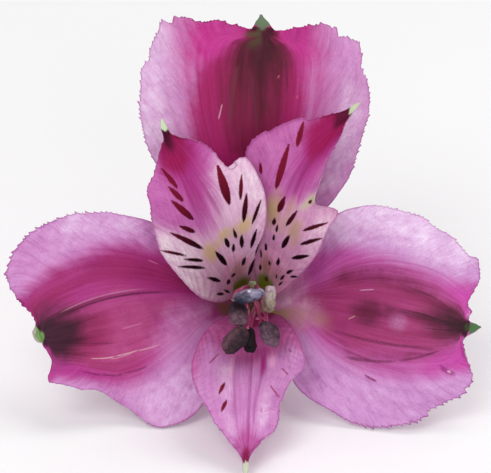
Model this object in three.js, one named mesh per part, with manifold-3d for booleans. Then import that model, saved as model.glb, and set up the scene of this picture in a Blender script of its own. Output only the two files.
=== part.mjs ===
// One alstroemeria bloom on its own stalk, laid on a table: six tepals in two whorls, six stamens,
// a style with three stigma arms, the six-ribbed ovary below them, and the flower stalk.
// Millimetres, +Z up. The origin is on the table, at the middle of the bloom's footprint.
//
// Each tepal is drawn in the "face" of the bloom: x to the right, y towards the top tepal, z out
// along the bloom's axis, with the origin where the tepals meet the ovary. The bloom group then
// leans that face back, so that it faces -Y and rests on its two lower side lobes and its stalk.
import * as THREE from 'three';
import { mergeVertices } from 'three/addons/utils/BufferGeometryUtils.js';
import Module from 'manifold-3d';

const wasm = await Module();
wasm.setup();

// ---- Driving dimensions -------------------------------------------------------------------
const AXIS_ELEVATION = THREE.MathUtils.degToRad(34); // of the bloom's axis above the table
const BLADE = 0.65; // thickness of a tepal
const SEAT_GAP = 0.3; // between pieces that touch on the plant

// The two whorls stand on funnels: z = height * (1 - exp(-(rho - mouth) / reach)).
const OUTER_FUNNEL = { height: 28, mouth: 3.2, reach: 11 };
const INNER_FUNNEL = { height: 36, mouth: 2.5, reach: 9 };

const ROWS_PER_STATION = 3; // mesh rows between two stations of a tepal
const TEETH_PER_ROW = 3; // margin points to a mesh row
const TEETH_END = 0.93; // the green point beyond this is smooth
const NUDGE = { s: 0.01, q: 0.04 }; // the small moves that give a surface's directions
const OUTER_COLUMNS = 8;
const INNER_COLUMNS = 6;

const OVARY = { top: -0.6, length: 7.2, ribs: 6, ribDepth: 0.08 };
const OVARY_PROFILE = [[2.9, 0], [3.3, 0.08], [3.35, 0.3], [3.0, 0.55], [2.2, 0.8], [1.35, 1]];

const FILAMENT = { radius: 0.45, ring: 1.5, sides: 6, steps: 12 };
const ANTHER = { length: 5.2, width: 3.4, depth: 2.6, groove: 0.24 };
const STYLE = { radius: 0.45, tip: [1.2, -5.7, 24.3], armRadius: 0.28, armLength: 2.2 };
const STALK = { radius: 1.0, bendEnd: 15, length: 52, drift: 7, sides: 10, steps: 26 };

// ---- Tepals -------------------------------------------------------------------------------
// A station is [left margin, rib, right margin], seen from the claw towards the tip, each as x, y
// and the rise above the funnel. The first station is the foot of the claw, the last the tip. An
// edge lists how far a margin stands out from the smooth one, each as s, 0 at the claw to 1 at the
// tip, and millimetres.
const TEPALS = {
  tepal_outer_top: {
    funnel: OUTER_FUNNEL,
    columns: OUTER_COLUMNS,
    teeth: { from: 0.4, left: 0.45, right: 0.45 },
    edge: {
      left: [
        [0.38, 0], [0.47, 0], [0.5, -0.3], [0.54, -0.4], [0.565, -0.2], [0.58, -0.5], [0.6, -1.2],
        [0.62, -0.7], [0.65, -0.6], [0.68, -0.5], [0.7, -0.1], [0.715, 0.5], [0.725, -0.9], [0.737, -0.7],
        [0.745, 0.7], [0.752, 0.1], [0.76, 0.6], [0.775, 0.5], [0.785, 0], [0.8, 0], [0.83, 0.8],
        [0.85, 0.5], [0.88, 0.6], [0.9, 0.3], [0.92, 0],
      ],
      right: [
        [0.2, 0], [0.25, 0.6], [0.28, 0.5], [0.3, 0.3], [0.34, 0.1], [0.36, -0.1], [0.4, -0.5], [0.46, -0.4],
        [0.48, -0.1], [0.52, -0.1], [0.565, -0.5], [0.58, -1], [0.6, -1.2], [0.62, -0.7], [0.64, -0.3],
        [0.66, 0.4], [0.67, 0.5], [0.68, 0.1], [0.7, -0.2], [0.715, -0.8], [0.73, 0.6], [0.74, 0.2],
        [0.75, 0.6], [0.77, 0.7], [0.78, 0.4], [0.84, 0.1], [0.88, 0.3], [0.9, 0.3], [0.92, 0],
      ],
    },
    wave: { size: 0.7, count: 3.5, phase: 0.1 },
    stations: [
      [[-0.8, 3.1, 0], [0, 3.2, 0], [0.8, 3.1, 0]],
      [[-3.2, 6.1, 0], [0.1, 6.9, 0], [3.2, 6.1, 0]],
      [[-7.6, 10.7, 0.3], [0.3, 12.0, 0], [7.4, 10.0, 0.3]],
      [[-12.5, 15.3, 0.6], [0.6, 17.4, 0], [12.4, 13.5, 0.6]],
      [[-16.3, 20.5, 0.9], [0.9, 22.7, 0], [16.1, 17.9, 0.9]],
      [[-17.9, 26.6, 1.0], [1.1, 27.6, 0], [18.3, 24.2, 1.0]],
      [[-18.2, 32.7, 0.6], [1.3, 32.1, 0], [18.9, 30.9, 0.8]],
      [[-16.8, 38.0, -0.2], [1.5, 35.8, 0], [17.8, 36.8, 0.2]],
      [[-13.7, 42.1, -0.8], [1.6, 37.8, -0.2], [13.6, 40.5, -0.6]],
      [[-6.7, 41.8, -1.0], [1.7, 39.0, -0.4], [8.4, 40.9, -0.8]],
      [[-0.4, 40.7, -0.7], [1.7, 40.2, -0.6], [4.0, 40.4, -0.7]],
      [[0.9, 42.7, -0.4], [1.4, 43.1, -0.4], [2.0, 42.8, -0.4]],
    ],
  },
  tepal_outer_right: {
    funnel: OUTER_FUNNEL,
    columns: OUTER_COLUMNS,
    teeth: { from: 0.42, left: 0.35, right: 0.4 },
    edge: {
      left: [
        [0.2, 0], [0.24, 0.7], [0.27, 1.1], [0.3, 0.9], [0.32, 0.6], [0.36, 0.3], [0.4, 0.1], [0.48, 0.3],
        [0.5, 0.2], [0.52, -0.3], [0.54, -0.5], [0.56, -0.3], [0.58, 0], [0.62, 0.2], [0.67, 0.2],
        [0.68, 0.8], [0.69, 1], [0.7, 0.7], [0.71, 0.2], [0.74, 0], [0.76, -0.2], [0.78, -0.6],
        [0.8, -0.9], [0.82, -1.1], [0.84, -0.9], [0.86, -0.5], [0.88, -0.1], [0.9, 0],
      ],
      right: [
        [0.22, 0], [0.26, -0.6], [0.28, -0.9], [0.32, -1.1], [0.34, -1.1], [0.36, -0.9], [0.38, -0.6],
        [0.4, -0.3], [0.44, 0], [0.5, -0.1], [0.54, -0.2], [0.56, -0.5], [0.57, -0.9], [0.58, -1.1],
        [0.6, -1], [0.62, -0.8], [0.64, -0.5], [0.66, 0.1], [0.68, 0.3], [0.69, -0.1], [0.7, 0.4],
        [0.72, 0.3], [0.74, -0.1], [0.78, -0.3], [0.8, 0],
      ],
    },
    wave: { size: 0.7, count: 3.0, phase: 0.6 },
    stations: [
      [[3.2, -0.3, 0], [3.0, -1.1, 0], [2.6, -1.8, 0]],
      [[6.0, 2.4, 0], [6.2, -1.1, 0], [4.4, -4.1, 0]],
      [[10.0, 6.7, 0.2], [10.5, -1.9, 0], [5.0, -10.2, 0.2]],
      [[14.3, 10.5, 0.6], [14.8, -2.9, 0], [7.4, -18.0, -0.6]],
      [[19.5, 12.1, 0.8], [19.6, -4.0, 0], [13.4, -22.0, -2.3]],
      [[25.1, 10.7, 0.8], [24.0, -5.2, 0], [20.4, -23.2, -3.2]],
      [[30.0, 8.5, 0.3], [28.0, -6.2, 0], [26.8, -22.3, -2.8]],
      [[33.4, 4.9, -0.2], [31.0, -7.0, -0.1], [31.8, -19.4, -1.6]],
      [[36.3, 1.2, -0.8], [32.8, -7.4, -0.2], [34.8, -15.4, -1.0]],
      [[35.5, -3.4, -0.6], [33.5, -7.6, -0.3], [33.5, -11.0, -0.6]],
      [[34.5, -6.4, -0.4], [34.3, -7.8, -0.4], [33.8, -9.3, -0.4]],
      [[36.3, -7.3, 0], [36.4, -7.6, 0], [36.3, -7.9, 0]],
    ],
  },
  tepal_outer_left: {
    funnel: OUTER_FUNNEL,
    columns: OUTER_COLUMNS,
    teeth: { from: 0.42, left: 0.1, right: 0.35 },
    edge: {
      left: [
        [0.41, 0], [0.44, 0.2], [0.48, 0.1], [0.5, 0], [0.6, 0], [0.62, 0.2], [0.63, 0.5], [0.65, 0.9],
        [0.66, 0.8], [0.67, 0.5], [0.7, 0], [0.72, 0.1], [0.735, 0.6], [0.76, 0.3], [0.77, 0], [0.78, -0.3],
        [0.8, -0.5], [0.82, -0.3], [0.84, -0.1], [0.88, 0.3], [0.9, 0.3], [0.92, 0],
      ],
      right: [
        [0.34, 0], [0.38, 0.1], [0.4, 0.3], [0.46, 0.4], [0.48, 0.8], [0.5, 0.9], [0.58, 1.1], [0.61, 1.1],
        [0.66, 1], [0.68, 0.8], [0.7, 0.6], [0.74, 0.1], [0.76, 0.1], [0.78, 0.3], [0.8, 0.2], [0.82, -0.2],
        [0.84, -0.4], [0.86, -0.5], [0.9, -0.3], [0.93, 0],
      ],
    },
    wave: { size: 0.7, count: 3.0, phase: 0.3 },
    stations: [
      [[-2.6, -1.8, 0], [-3.0, -1.1, 0], [-3.2, -0.3, 0]],
      [[-4.2, -4.3, 0], [-6.2, -1.3, 0], [-6.0, 2.6, 0]],
      [[-5.2, -10.1, 0.2], [-10.5, -2.1, 0], [-10.2, 6.7, 0.2]],
      [[-6.5, -17.1, -0.6], [-15.2, -3.2, 0], [-15.0, 9.6, 0.6]],
      [[-10.3, -21.9, -2.0], [-20.0, -4.5, 0], [-20.5, 10.7, 0.8]],
      [[-15.4, -23.0, -2.6], [-24.4, -5.8, 0], [-26.3, 10.4, 0.8]],
      [[-20.6, -19.8, -2.2], [-28.2, -7.0, 0], [-32.0, 8.2, 0.3]],
      [[-26.1, -16.8, -1.4], [-31.0, -7.9, -0.1], [-36.4, 4.9, -0.2]],
      [[-31.7, -16.2, -1.0], [-32.5, -8.4, -0.2], [-38.9, 0.2, -0.8]],
      [[-32.4, -12.6, -0.6], [-33.2, -8.7, -0.3], [-36.2, -4.1, -0.6]],
      [[-33.2, -10.2, -0.4], [-33.8, -8.9, -0.4], [-34.6, -7.2, -0.4]],
      [[-34.2, -9.8, 0], [-34.5, -9.0, 0], [-34.4, -8.3, 0]],
    ],
  },
  tepal_inner_upper_left: {
    funnel: INNER_FUNNEL,
    columns: INNER_COLUMNS,
    teeth: { from: 0.5, left: 0.22, right: 0.22 },
    edge: {
      left: [
        [0.12, 0], [0.18, -0.4], [0.24, -0.3], [0.36, 0], [0.46, -0.1], [0.5, -0.6], [0.6, -0.5],
        [0.62, -0.3], [0.66, 0.4], [0.68, 0.4], [0.72, 0], [0.8, 0], [0.82, -0.3], [0.86, -0.6],
        [0.9, -0.3], [0.93, 0],
      ],
      right: [
        [0.3, 0], [0.36, -0.3], [0.46, -0.4], [0.54, 0], [0.58, 0.3], [0.7, 0.3], [0.76, 0.6], [0.8, 0.3],
        [0.84, -0.1], [0.9, -0.1], [0.93, 0],
      ],
    },
    wave: { size: 0.3, count: 2.5, phase: 0.2 },
    stations: [
      [[-2.4, 0.4, 0], [-2.0, 1.4, 0], [-0.8, 2.3, 0]],
      [[-3.6, -0.4, 0], [-2.8, 2.7, 0], [0.1, 3.9, 0.6]],
      [[-5.3, -2.0, 0], [-3.5, 4.1, 0], [0.7, 6.0, 1.6]],
      [[-8.2, -1.9, 0], [-4.4, 5.9, 0], [2.0, 9.0, 2.2]],
      [[-11.6, 0.9, 0], [-5.4, 7.8, 0], [2.5, 12.2, 2.2]],
      [[-14.6, 4.3, 0], [-6.5, 9.8, 0], [1.6, 15.6, 2.0]],
      [[-16.2, 8.3, 0], [-7.8, 12.2, 0], [-1.2, 18.9, 1.7]],
      [[-16.5, 12.6, 0], [-9.6, 15.4, 0], [-3.9, 17.3, 1.0]],
      [[-15.5, 16.3, 0.2], [-11.5, 18.5, 0.2], [-6.6, 19.6, 0.6]],
      [[-14.6, 20.2, 0.6], [-13.1, 21.2, 0.6], [-10.3, 21.5, 0.8]],
      [[-14.4, 22.3, 1.0], [-13.8, 22.6, 1.0], [-12.9, 22.4, 1.0]],
      [[-14.6, 24.4, 1.4], [-14.3, 24.5, 1.4], [-14.0, 24.4, 1.4]],
    ],
  },
  tepal_inner_upper_right: {
    funnel: INNER_FUNNEL,
    columns: INNER_COLUMNS,
    teeth: { from: 0.5, left: 0.22, right: 0.22 },
    edge: {
      left: [
        [0.5, 0], [0.54, 0.7], [0.58, 1.1], [0.62, 1.2], [0.64, 0.8], [0.7, 0.8], [0.74, 0.7], [0.76, 0.1],
        [0.84, 0.1], [0.88, 0],
      ],
      right: [
        [0.12, 0], [0.16, -0.2], [0.36, -0.2], [0.42, 0], [0.46, 0.3], [0.48, 0.3], [0.54, 0],
      ],
    },
    wave: { size: 0.3, count: 2.5, phase: 0.7 },
    stations: [
      [[0.8, 2.3, 0], [2.0, 1.4, 0], [2.4, 0.4, 0]],
      [[0.4, 4.3, -1.2], [2.7, 2.9, 0], [4.4, 0.2, 0]],
      [[0.1, 6.5, -1.8], [3.5, 4.8, 0], [7.4, 1.6, 0]],
      [[-0.6, 9.9, -1.4], [4.2, 6.8, 0], [10.4, 4.4, 0]],
      [[-1.1, 13.0, -1.1], [4.9, 8.9, 0], [12.1, 7.8, 0]],
      [[-1.3, 16.4, -1.0], [5.7, 11.2, 0], [13.4, 10.5, 0]],
      [[-0.3, 19.9, -0.6], [6.8, 13.9, 0], [9.9, 12.0, 0.4]],
      [[2.9, 22.2, 0], [8.5, 17.1, 0], [10.5, 14.9, 0.6]],
      [[7.3, 24.1, 0.2], [10.7, 20.2, 0.2], [12.0, 18.5, 0.6]],
      [[11.3, 25.0, 0.6], [13.2, 23.1, 0.6], [13.9, 22.0, 0.8]],
      [[14.8, 26.0, 1.0], [15.2, 25.2, 1.0], [15.2, 24.8, 1.0]],
      [[16.7, 27.2, 1.4], [16.9, 27.0, 1.4], [17.1, 26.7, 1.4]],
    ],
  },
  tepal_inner_lower: {
    funnel: INNER_FUNNEL,
    columns: INNER_COLUMNS,
    teeth: { from: 0.55, left: 0.2, right: 0.2 },
    edge: {
      left: [
        [0.5, 0], [0.54, 0.4], [0.62, 0.5], [0.64, 0], [0.72, 0], [0.74, 0.3], [0.78, 0.6], [0.8, 0],
        [0.82, -0.3], [0.84, -0.2], [0.88, -0.4], [0.92, -0.2], [0.97, 0],
      ],
      right: [
        [0.66, 0], [0.7, -0.2], [0.72, -0.4], [0.74, -0.6], [0.78, -0.6], [0.8, -0.3], [0.84, -0.5],
        [0.88, -0.4], [0.92, -0.2], [0.97, 0],
      ],
    },
    wave: { size: 0.4, count: 3.0, phase: 0.4 },
    stations: [
      [[1.2, -2.1, 0], [0, -2.45, 0], [-1.2, -2.1, 0]],
      [[3.0, -2.9, 0.2], [0, -3.7, 0], [-2.9, -2.9, 0.2]],
      [[5.0, -4.5, 0.5], [-0.1, -5.6, 0], [-4.9, -4.5, 0.5]],
      [[6.5, -7.1, 0.8], [-0.2, -8.0, 0], [-7.1, -7.1, 0.8]],
      [[7.9, -10.7, 1.2], [-0.4, -11.2, 0], [-8.9, -10.9, 1.2]],
      [[8.2, -14.1, 1.2], [-0.6, -14.8, 0], [-9.6, -14.9, 1.2]],
      [[5.4, -17.0, 1.2], [-0.7, -18.4, 0.1], [-8.7, -18.4, 1.2]],
      [[4.3, -20.0, 1.2], [-0.9, -21.9, 0.3], [-7.0, -21.2, 1.2]],
      [[3.9, -23.4, 1.3], [-1.0, -25.2, 0.6], [-5.6, -24.4, 1.3]],
      [[1.6, -26.2, 1.5], [-1.0, -27.6, 1.0], [-3.2, -26.9, 1.5]],
      [[-0.4, -29.2, 1.7], [-1.1, -29.7, 1.5], [-1.6, -29.4, 1.7]],
      [[-0.75, -32.0, 2.2], [-1.1, -32.1, 2.2], [-1.45, -32.0, 2.2]],
    ],
  },
};

// The stamens and the style leave the ovary as one bundle and bow down along this line.
const BUNDLE = [[0, 0, -SEAT_GAP], [0, -0.1, 8], [0, -1.8, 16], [0, -4.4, 22], [0, -6.8, 26.5]];

// Where each filament starts on the ring, where its anther's middle lies, which way the anther
// points and how far it is rolled about that line, in degrees.
const STAMENS = [
  { start: 120, middle: [-0.5, -3.0, 30.4], points: [0.86, 0.1, 0.5], roll: 80 },
  { start: 180, middle: [-2.2, -5.8, 28.9], points: [0.1, -0.72, 0.68], roll: 0 },
  { start: 240, middle: [-2.7, -10.1, 30.2], points: [-0.69, -0.7, 0.2], roll: 0 },
  { start: 300, middle: [-0.4, -9.7, 27.0], points: [0, -0.6, 0.8], roll: 90 },
  { start: 0, middle: [2.8, -9.0, 29.0], points: [0.2, -0.75, 0.62], roll: 0 },
  { start: 60, middle: [2.8, -3.1, 26.8], points: [0.1, 0.45, 0.88], roll: 90 },
];

// ---- Materials ----------------------------------------------------------------------------
const finish = (color, roughness) => new THREE.MeshStandardMaterial({ color, roughness, metalness: 0 });
const outerPetal = finish(0xb8458f, 0.6);
const innerPetal = finish(0xcb7fb5, 0.6);
const lowerPetal = finish(0xc06aae, 0.6);
const filamentSkin = finish(0xd9a3bf, 0.6);
const antherSkin = finish(0x5a4654, 0.85);
const green = finish(0x7f9a55, 0.6);

// ---- Tools --------------------------------------------------------------------------------
/** A closed geometry from a list of points and a list of triangles. */
function solid(points, triangles) {
  const geometry = new THREE.BufferGeometry();
  geometry.setAttribute('position', new THREE.Float32BufferAttribute(points.flatMap((p) => p.toArray()), 3));
  geometry.setIndex(triangles.flat());
  geometry.computeVertexNormals();
  return geometry;
}

/** One closed geometry from several that run into each other. */
function joined(geometries) {
  const whole = geometries.map((geometry) => {
    const bare = geometry.clone();
    bare.deleteAttribute('normal');
    const merged = mergeVertices(bare);
    return new wasm.Manifold(new wasm.Mesh({
      numProp: 3,
      vertProperties: merged.getAttribute('position').array,
      triVerts: Uint32Array.from(merged.index.array),
    }));
  }).reduce((all, next) => all.add(next));
  const { vertProperties, triVerts } = whole.getMesh();
  const geometry = new THREE.BufferGeometry();
  geometry.setAttribute('position', new THREE.BufferAttribute(vertProperties, 3));
  geometry.setIndex(new THREE.BufferAttribute(triVerts, 1));
  geometry.computeVertexNormals();
  return geometry;
}

/** A repeatable number from 0 to 1 for a whole number n. */
function chance(n) {
  const x = Math.sin(n * 12.9898 + 4.1414) * 43758.5453;
  return x - Math.floor(x);
}

function piece(name, geometry, material) {
  const mesh = new THREE.Mesh(geometry, material);
  mesh.name = name;
  return mesh;
}

// ---- A tepal's surface --------------------------------------------------------------------
function funnelHeight({ height, mouth, reach }, x, y) {
  const rho = Math.max(Math.hypot(x, y), mouth);
  return height * (1 - Math.exp(-(rho - mouth) / reach));
}

/** The tepal's point for s, 0 at the claw to 1 at the tip, and q, -1 left to 1 right. */
function surfaceOf(tepal) {
  const line = (side) => new THREE.CatmullRomCurve3(
    tepal.stations.map((station) => new THREE.Vector3(...station[side])), false, 'centripetal');
  const [leftLine, ribLine, rightLine] = [line(0), line(1), line(2)];
  const { wave } = tepal;
  return (s, q) => {
    const left = leftLine.getPoint(s);
    const rib = ribLine.getPoint(s);
    const right = rightLine.getPoint(s);
    const half = right.clone().sub(left).multiplyScalar(0.5);
    const bow = left.add(right).multiplyScalar(0.5).sub(rib);
    const p = rib.addScaledVector(half, q).addScaledVector(bow, q * q);
    const ripple = wave.size * Math.sin(2 * Math.PI * (wave.count * s + wave.phase) + q);
    const free = THREE.MathUtils.smoothstep(s, 0.25, 0.6) * THREE.MathUtils.smoothstep(1 - s, 0, 0.15);
    p.z += funnelHeight(tepal.funnel, p.x, p.y) + ripple * free * Math.abs(q) ** 3;
    return p;
  };
}

/** The value at s of a list of [place, value], straight between the places and 0 beyond them. */
function valueAt(list, s) {
  const next = list.findIndex(([place]) => place > s);
  if (next <= 0) return 0;
  const [[before, low], [after, high]] = list.slice(next - 1, next + 1);
  return low + ((high - low) * (s - before)) / (after - before);
}

/** A point on the margin, moved out across it by the tepal's edge and, where it has them, teeth. */
function marginPoint(tepal, surface, step, steps, q) {
  const s = step / steps;
  const point = surface(s, q);
  if (step === 0 || step === steps) return point;
  const along = surface(s + 0.5 / steps, q).sub(surface(s - 0.5 / steps, q));
  const across = point.clone().sub(surface(s, q * 0.97));
  const out = across.addScaledVector(along, -across.dot(along) / along.lengthSq()).normalize();
  const side = q < 0 ? 'left' : 'right';
  const size = s < tepal.teeth.from || s > TEETH_END ? 0 : tepal.teeth[side];
  const tooth = (step % 2 === 0 ? -0.3 : 0.7) * size * (0.5 + chance(step + 100 * q));
  return point.addScaledVector(out, valueAt(tepal.edge[side], s) + tooth);
}

/** The surface's normal, facing out of the bloom. */
function normalAt(surface, s, q) {
  const place = THREE.MathUtils.clamp(s, NUDGE.s, 1 - NUDGE.s);
  const along = surface(place + NUDGE.s, q).sub(surface(place - NUDGE.s, q));
  const across = surface(place, q + NUDGE.q).sub(surface(place, q - NUDGE.q));
  return across.cross(along).normalize();
}

/**
 * The faces between two neighbours of the outermost column and the margin beside them. The first
 * `turn` steps of the margin join the lower neighbour, the others the upper one.
 */
function marginStrip([low, high], line, first, turn, side) {
  const strip = [[low, high, line[first + turn]]];
  for (let step = 0; step < TEETH_PER_ROW; step += 1) {
    strip.push([step < turn ? low : high, line[first + step + 1], line[first + step]]);
  }
  return side < 0 ? strip : strip.map(([a, b, c]) => [a, c, b]);
}

/** The strip, among those for every turn, whose faces all turn furthest towards the front. */
function bestStrip(points, ends, line, first, side, towards) {
  const worst = (strip) => Math.min(...strip.map(([a, b, c]) => (
    points[b].clone().sub(points[a]).cross(points[c].clone().sub(points[a])).dot(towards))));
  return Array.from({ length: TEETH_PER_ROW + 1 }, (_, turn) => marginStrip(ends, line, first, turn, side))
    .reduce((best, next) => (worst(next) > worst(best) ? next : best));
}

/** The closed blade: a front face, the same triangles a blade's thickness behind, and the edge. */
function bladeGeometry(tepal) {
  const surface = surfaceOf(tepal);
  const rows = (tepal.stations.length - 1) * ROWS_PER_STATION;
  const steps = rows * TEETH_PER_ROW;
  const { columns } = tepal;
  const front = [];
  const back = [];
  const place = (point, s, q) => {
    back.push(point.clone().addScaledVector(normalAt(surface, s, q), -BLADE));
    return front.push(point) - 1;
  };
  const inner = Array.from({ length: rows + 1 }, (_, row) => Array.from({ length: columns - 1 }, (_, k) => {
    const q = -1 + (2 * (k + 1)) / columns;
    return place(surface(row / rows, q), row / rows, q);
  }));
  const margin = [-1, 1].map((q) => Array.from({ length: steps + 1 }, (_, step) => (
    place(marginPoint(tepal, surface, step, steps, q), step / steps, q))));

  const faces = [];
  const [left, right] = margin;
  const lastColumn = columns - 2;
  for (let row = 0; row < rows; row += 1) {
    const low = inner[row];
    const high = inner[row + 1];
    for (let k = 0; k < lastColumn; k += 1) {
      faces.push([low[k], low[k + 1], high[k + 1]], [low[k], high[k + 1], high[k]]);
    }
    for (const side of [-1, 1]) {
      const column = side < 0 ? 0 : lastColumn;
      const line = side < 0 ? left : right;
      const towards = normalAt(surface, (row + 0.5) / rows, side);
      faces.push(...bestStrip(
        front, [low[column], high[column]], line, row * TEETH_PER_ROW, side, towards));
    }
  }

  const rim = [
    left[0], ...inner[0], ...right,
    ...inner[rows].slice().reverse(), ...left.slice(1).reverse(),
  ];
  const behind = front.length;
  const triangles = faces.flatMap(([a, b, c]) => [[a, b, c], [a + behind, c + behind, b + behind]]);
  rim.forEach((a, i) => {
    const b = rim[(i + 1) % rim.length];
    triangles.push([a, a + behind, b], [b, a + behind, b + behind]);
  });
  return solid([...front, ...back], triangles);
}

// ---- Round pieces along a path ------------------------------------------------------------
/** A closed tube along a curve, with a radius for each t from 0 to 1. */
function tube(curve, radiusAt, sides, steps, sectionAt = () => 1) {
  const frames = curve.computeFrenetFrames(steps, false);
  const points = [];
  for (let step = 0; step <= steps; step += 1) {
    const t = step / steps;
    const middle = curve.getPointAt(t);
    for (let side = 0; side < sides; side += 1) {
      const turn = (2 * Math.PI * side) / sides;
      const r = radiusAt(t) * sectionAt(turn);
      points.push(middle.clone()
        .addScaledVector(frames.normals[step], r * Math.cos(turn))
        .addScaledVector(frames.binormals[step], r * Math.sin(turn)));
    }
  }
  const start = points.push(curve.getPointAt(0)) - 1;
  const end = points.push(curve.getPointAt(1)) - 1;
  const triangles = [];
  for (let side = 0; side < sides; side += 1) {
    const next = (side + 1) % sides;
    triangles.push([start, next, side], [end, steps * sides + side, steps * sides + next]);
    for (let step = 0; step < steps; step += 1) {
      const a = step * sides;
      const b = a + sides;
      triangles.push([a + side, a + next, b + next], [a + side, b + next, b + side]);
    }
  }
  return solid(points, triangles);
}

// ---- Stamens and style --------------------------------------------------------------------
function antherGeometry() {
  const geometry = new THREE.SphereGeometry(0.5, 14, 10);
  geometry.deleteAttribute('uv');
  const position = geometry.getAttribute('position');
  for (let i = 0; i < position.count; i += 1) {
    const p = new THREE.Vector3().fromBufferAttribute(position, i);
    const towardsGroove = Math.sin(Math.atan2(p.z, p.x)) ** 6;
    const alongGroove = Math.sqrt(Math.max(0, Math.cos(Math.PI * p.y)));
    const cleft = 1 - ANTHER.groove * towardsGroove * alongGroove;
    position.setXYZ(i, p.x * ANTHER.width * cleft, p.y * ANTHER.length, p.z * ANTHER.depth * cleft);
  }
  return geometry;
}

/** A path that starts beside the bundle's line, follows it, and ends at a point of its own. */
function bundlePath(start, end) {
  const line = new THREE.CatmullRomCurve3(BUNDLE.map((p) => new THREE.Vector3(...p)));
  const lineEnd = line.getPoint(1);
  const knots = Array.from({ length: 7 }, (_, i) => {
    const t = i / 6;
    const spread = THREE.MathUtils.smoothstep(t, 0.3, 1);
    const aside = start.clone().lerp(end.clone().sub(lineEnd), spread);
    return line.getPoint(t).add(aside);
  });
  return new THREE.CatmullRomCurve3(knots);
}

function stamen({ start, middle, points, roll }, number) {
  const way = new THREE.Vector3(...points).normalize();
  const anther = piece(`anther_${number}`, antherGeometry(), antherSkin);
  anther.position.set(...middle);
  anther.quaternion.setFromUnitVectors(new THREE.Vector3(0, 1, 0), way);
  anther.rotateY(THREE.MathUtils.degToRad(roll));

  const turn = THREE.MathUtils.degToRad(start);
  const foot = new THREE.Vector3(FILAMENT.ring * Math.cos(turn), FILAMENT.ring * Math.sin(turn), 0);
  const head = anther.position.clone().addScaledVector(way, -ANTHER.length / 2 - 1.5 * SEAT_GAP);
  const thickness = (t) => FILAMENT.radius * (1 - 0.25 * t);
  const filament = piece(`filament_${number}`,
    tube(bundlePath(foot, head), thickness, FILAMENT.sides, FILAMENT.steps), filamentSkin);
  return [filament, anther];
}

/** The style, whose tip parts into three short stigma arms. */
function style() {
  const tip = new THREE.Vector3(...STYLE.tip);
  const path = bundlePath(new THREE.Vector3(), tip);
  const stem = tube(path, (t) => STYLE.radius * (1 - 0.3 * t), 8, 12);
  const forward = path.getTangent(1);
  const arms = [90, 210, 330].map((degrees) => {
    const aside = new THREE.Vector3(1, 0, 0).applyAxisAngle(forward, THREE.MathUtils.degToRad(degrees));
    const arm = new THREE.CatmullRomCurve3([
      tip.clone().addScaledVector(forward, -0.6),
      tip.clone().addScaledVector(forward, 0.4 * STYLE.armLength).addScaledVector(aside, 0.25),
      tip.clone().addScaledVector(forward, 0.8 * STYLE.armLength).addScaledVector(aside, 0.8),
    ]);
    return tube(arm, () => STYLE.armRadius, 6, 4);
  });
  return piece('style', joined([stem, ...arms]), filamentSkin);
}

// ---- Ovary and stalk ----------------------------------------------------------------------
function ovary() {
  const radii = new THREE.SplineCurve(OVARY_PROFILE.map(([r, t]) => new THREE.Vector2(r, t)));
  const axis = new THREE.LineCurve3(
    new THREE.Vector3(0, 0, OVARY.top), new THREE.Vector3(0, 0, OVARY.top - OVARY.length));
  const rib = (turn) => 1 + OVARY.ribDepth * Math.cos(OVARY.ribs * turn);
  return piece('ovary', tube(axis, (t) => radii.getPoint(t).x, 24, 10, rib), green);
}

/** The stalk leaves the ovary along the bloom's axis and bends down to lie on the table. */
function stalk(tableLevel) {
  const away = new THREE.Vector3(0, Math.cos(AXIS_ELEVATION), -Math.sin(AXIS_ELEVATION));
  const start = away.clone().multiplyScalar(OVARY.length - OVARY.top + SEAT_GAP);
  const lying = tableLevel + STALK.radius;
  const curve = new THREE.CatmullRomCurve3([
    start,
    start.clone().addScaledVector(away, 1.2),
    new THREE.Vector3(0.3, STALK.bendEnd, lying + 0.1),
    new THREE.Vector3(1.2, STALK.bendEnd + 8, lying),
    new THREE.Vector3(STALK.drift * 0.55, STALK.bendEnd + 22, lying),
    new THREE.Vector3(STALK.drift, STALK.length, lying),
  ]);
  return piece('pedicel', tube(curve, () => STALK.radius, STALK.sides, STALK.steps), green);
}

// ---- Assembly -----------------------------------------------------------------------------
const bloom = new THREE.Group();
bloom.rotation.x = Math.PI / 2 - AXIS_ELEVATION;
for (const [name, tepal] of Object.entries(TEPALS)) {
  const skin = tepal.funnel === OUTER_FUNNEL ? outerPetal : innerPetal;
  bloom.add(piece(name, bladeGeometry(tepal), name === 'tepal_inner_lower' ? lowerPetal : skin));
}
STAMENS.forEach((one, i) => bloom.add(...stamen(one, i + 1)));
bloom.add(style(), ovary());

const flower = new THREE.Group();
flower.add(bloom);
const tableLevel = new THREE.Box3().setFromObject(flower, true).min.z;
flower.add(stalk(tableLevel));

const box = new THREE.Box3().setFromObject(flower, true);
flower.position.set(-(box.min.x + box.max.x) / 2, -(box.min.y + box.max.y) / 2, -box.min.z);

const group = new THREE.Group();
group.add(flower);

export default group;
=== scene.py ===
"""The looks of one alstroemeria bloom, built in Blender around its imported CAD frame.

Shapes are worked out in millimetres in the face of the bloom: x to the right, y towards the top
tepal and z out along the bloom's axis, from the point where the tepals meet the ovary. to_row()
leans that face back to where the frame holds the bloom, in metres.

A place on a tepal is s, along it from the claw to the tip, and q, across it from the left margin to
the right one, seen from the claw. Functions take s from 0 to 1 and q from -1 to 1. The tables hold
both in percent.
"""
import math

import bpy
import numpy as np
from mathutils import Matrix, Vector


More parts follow.
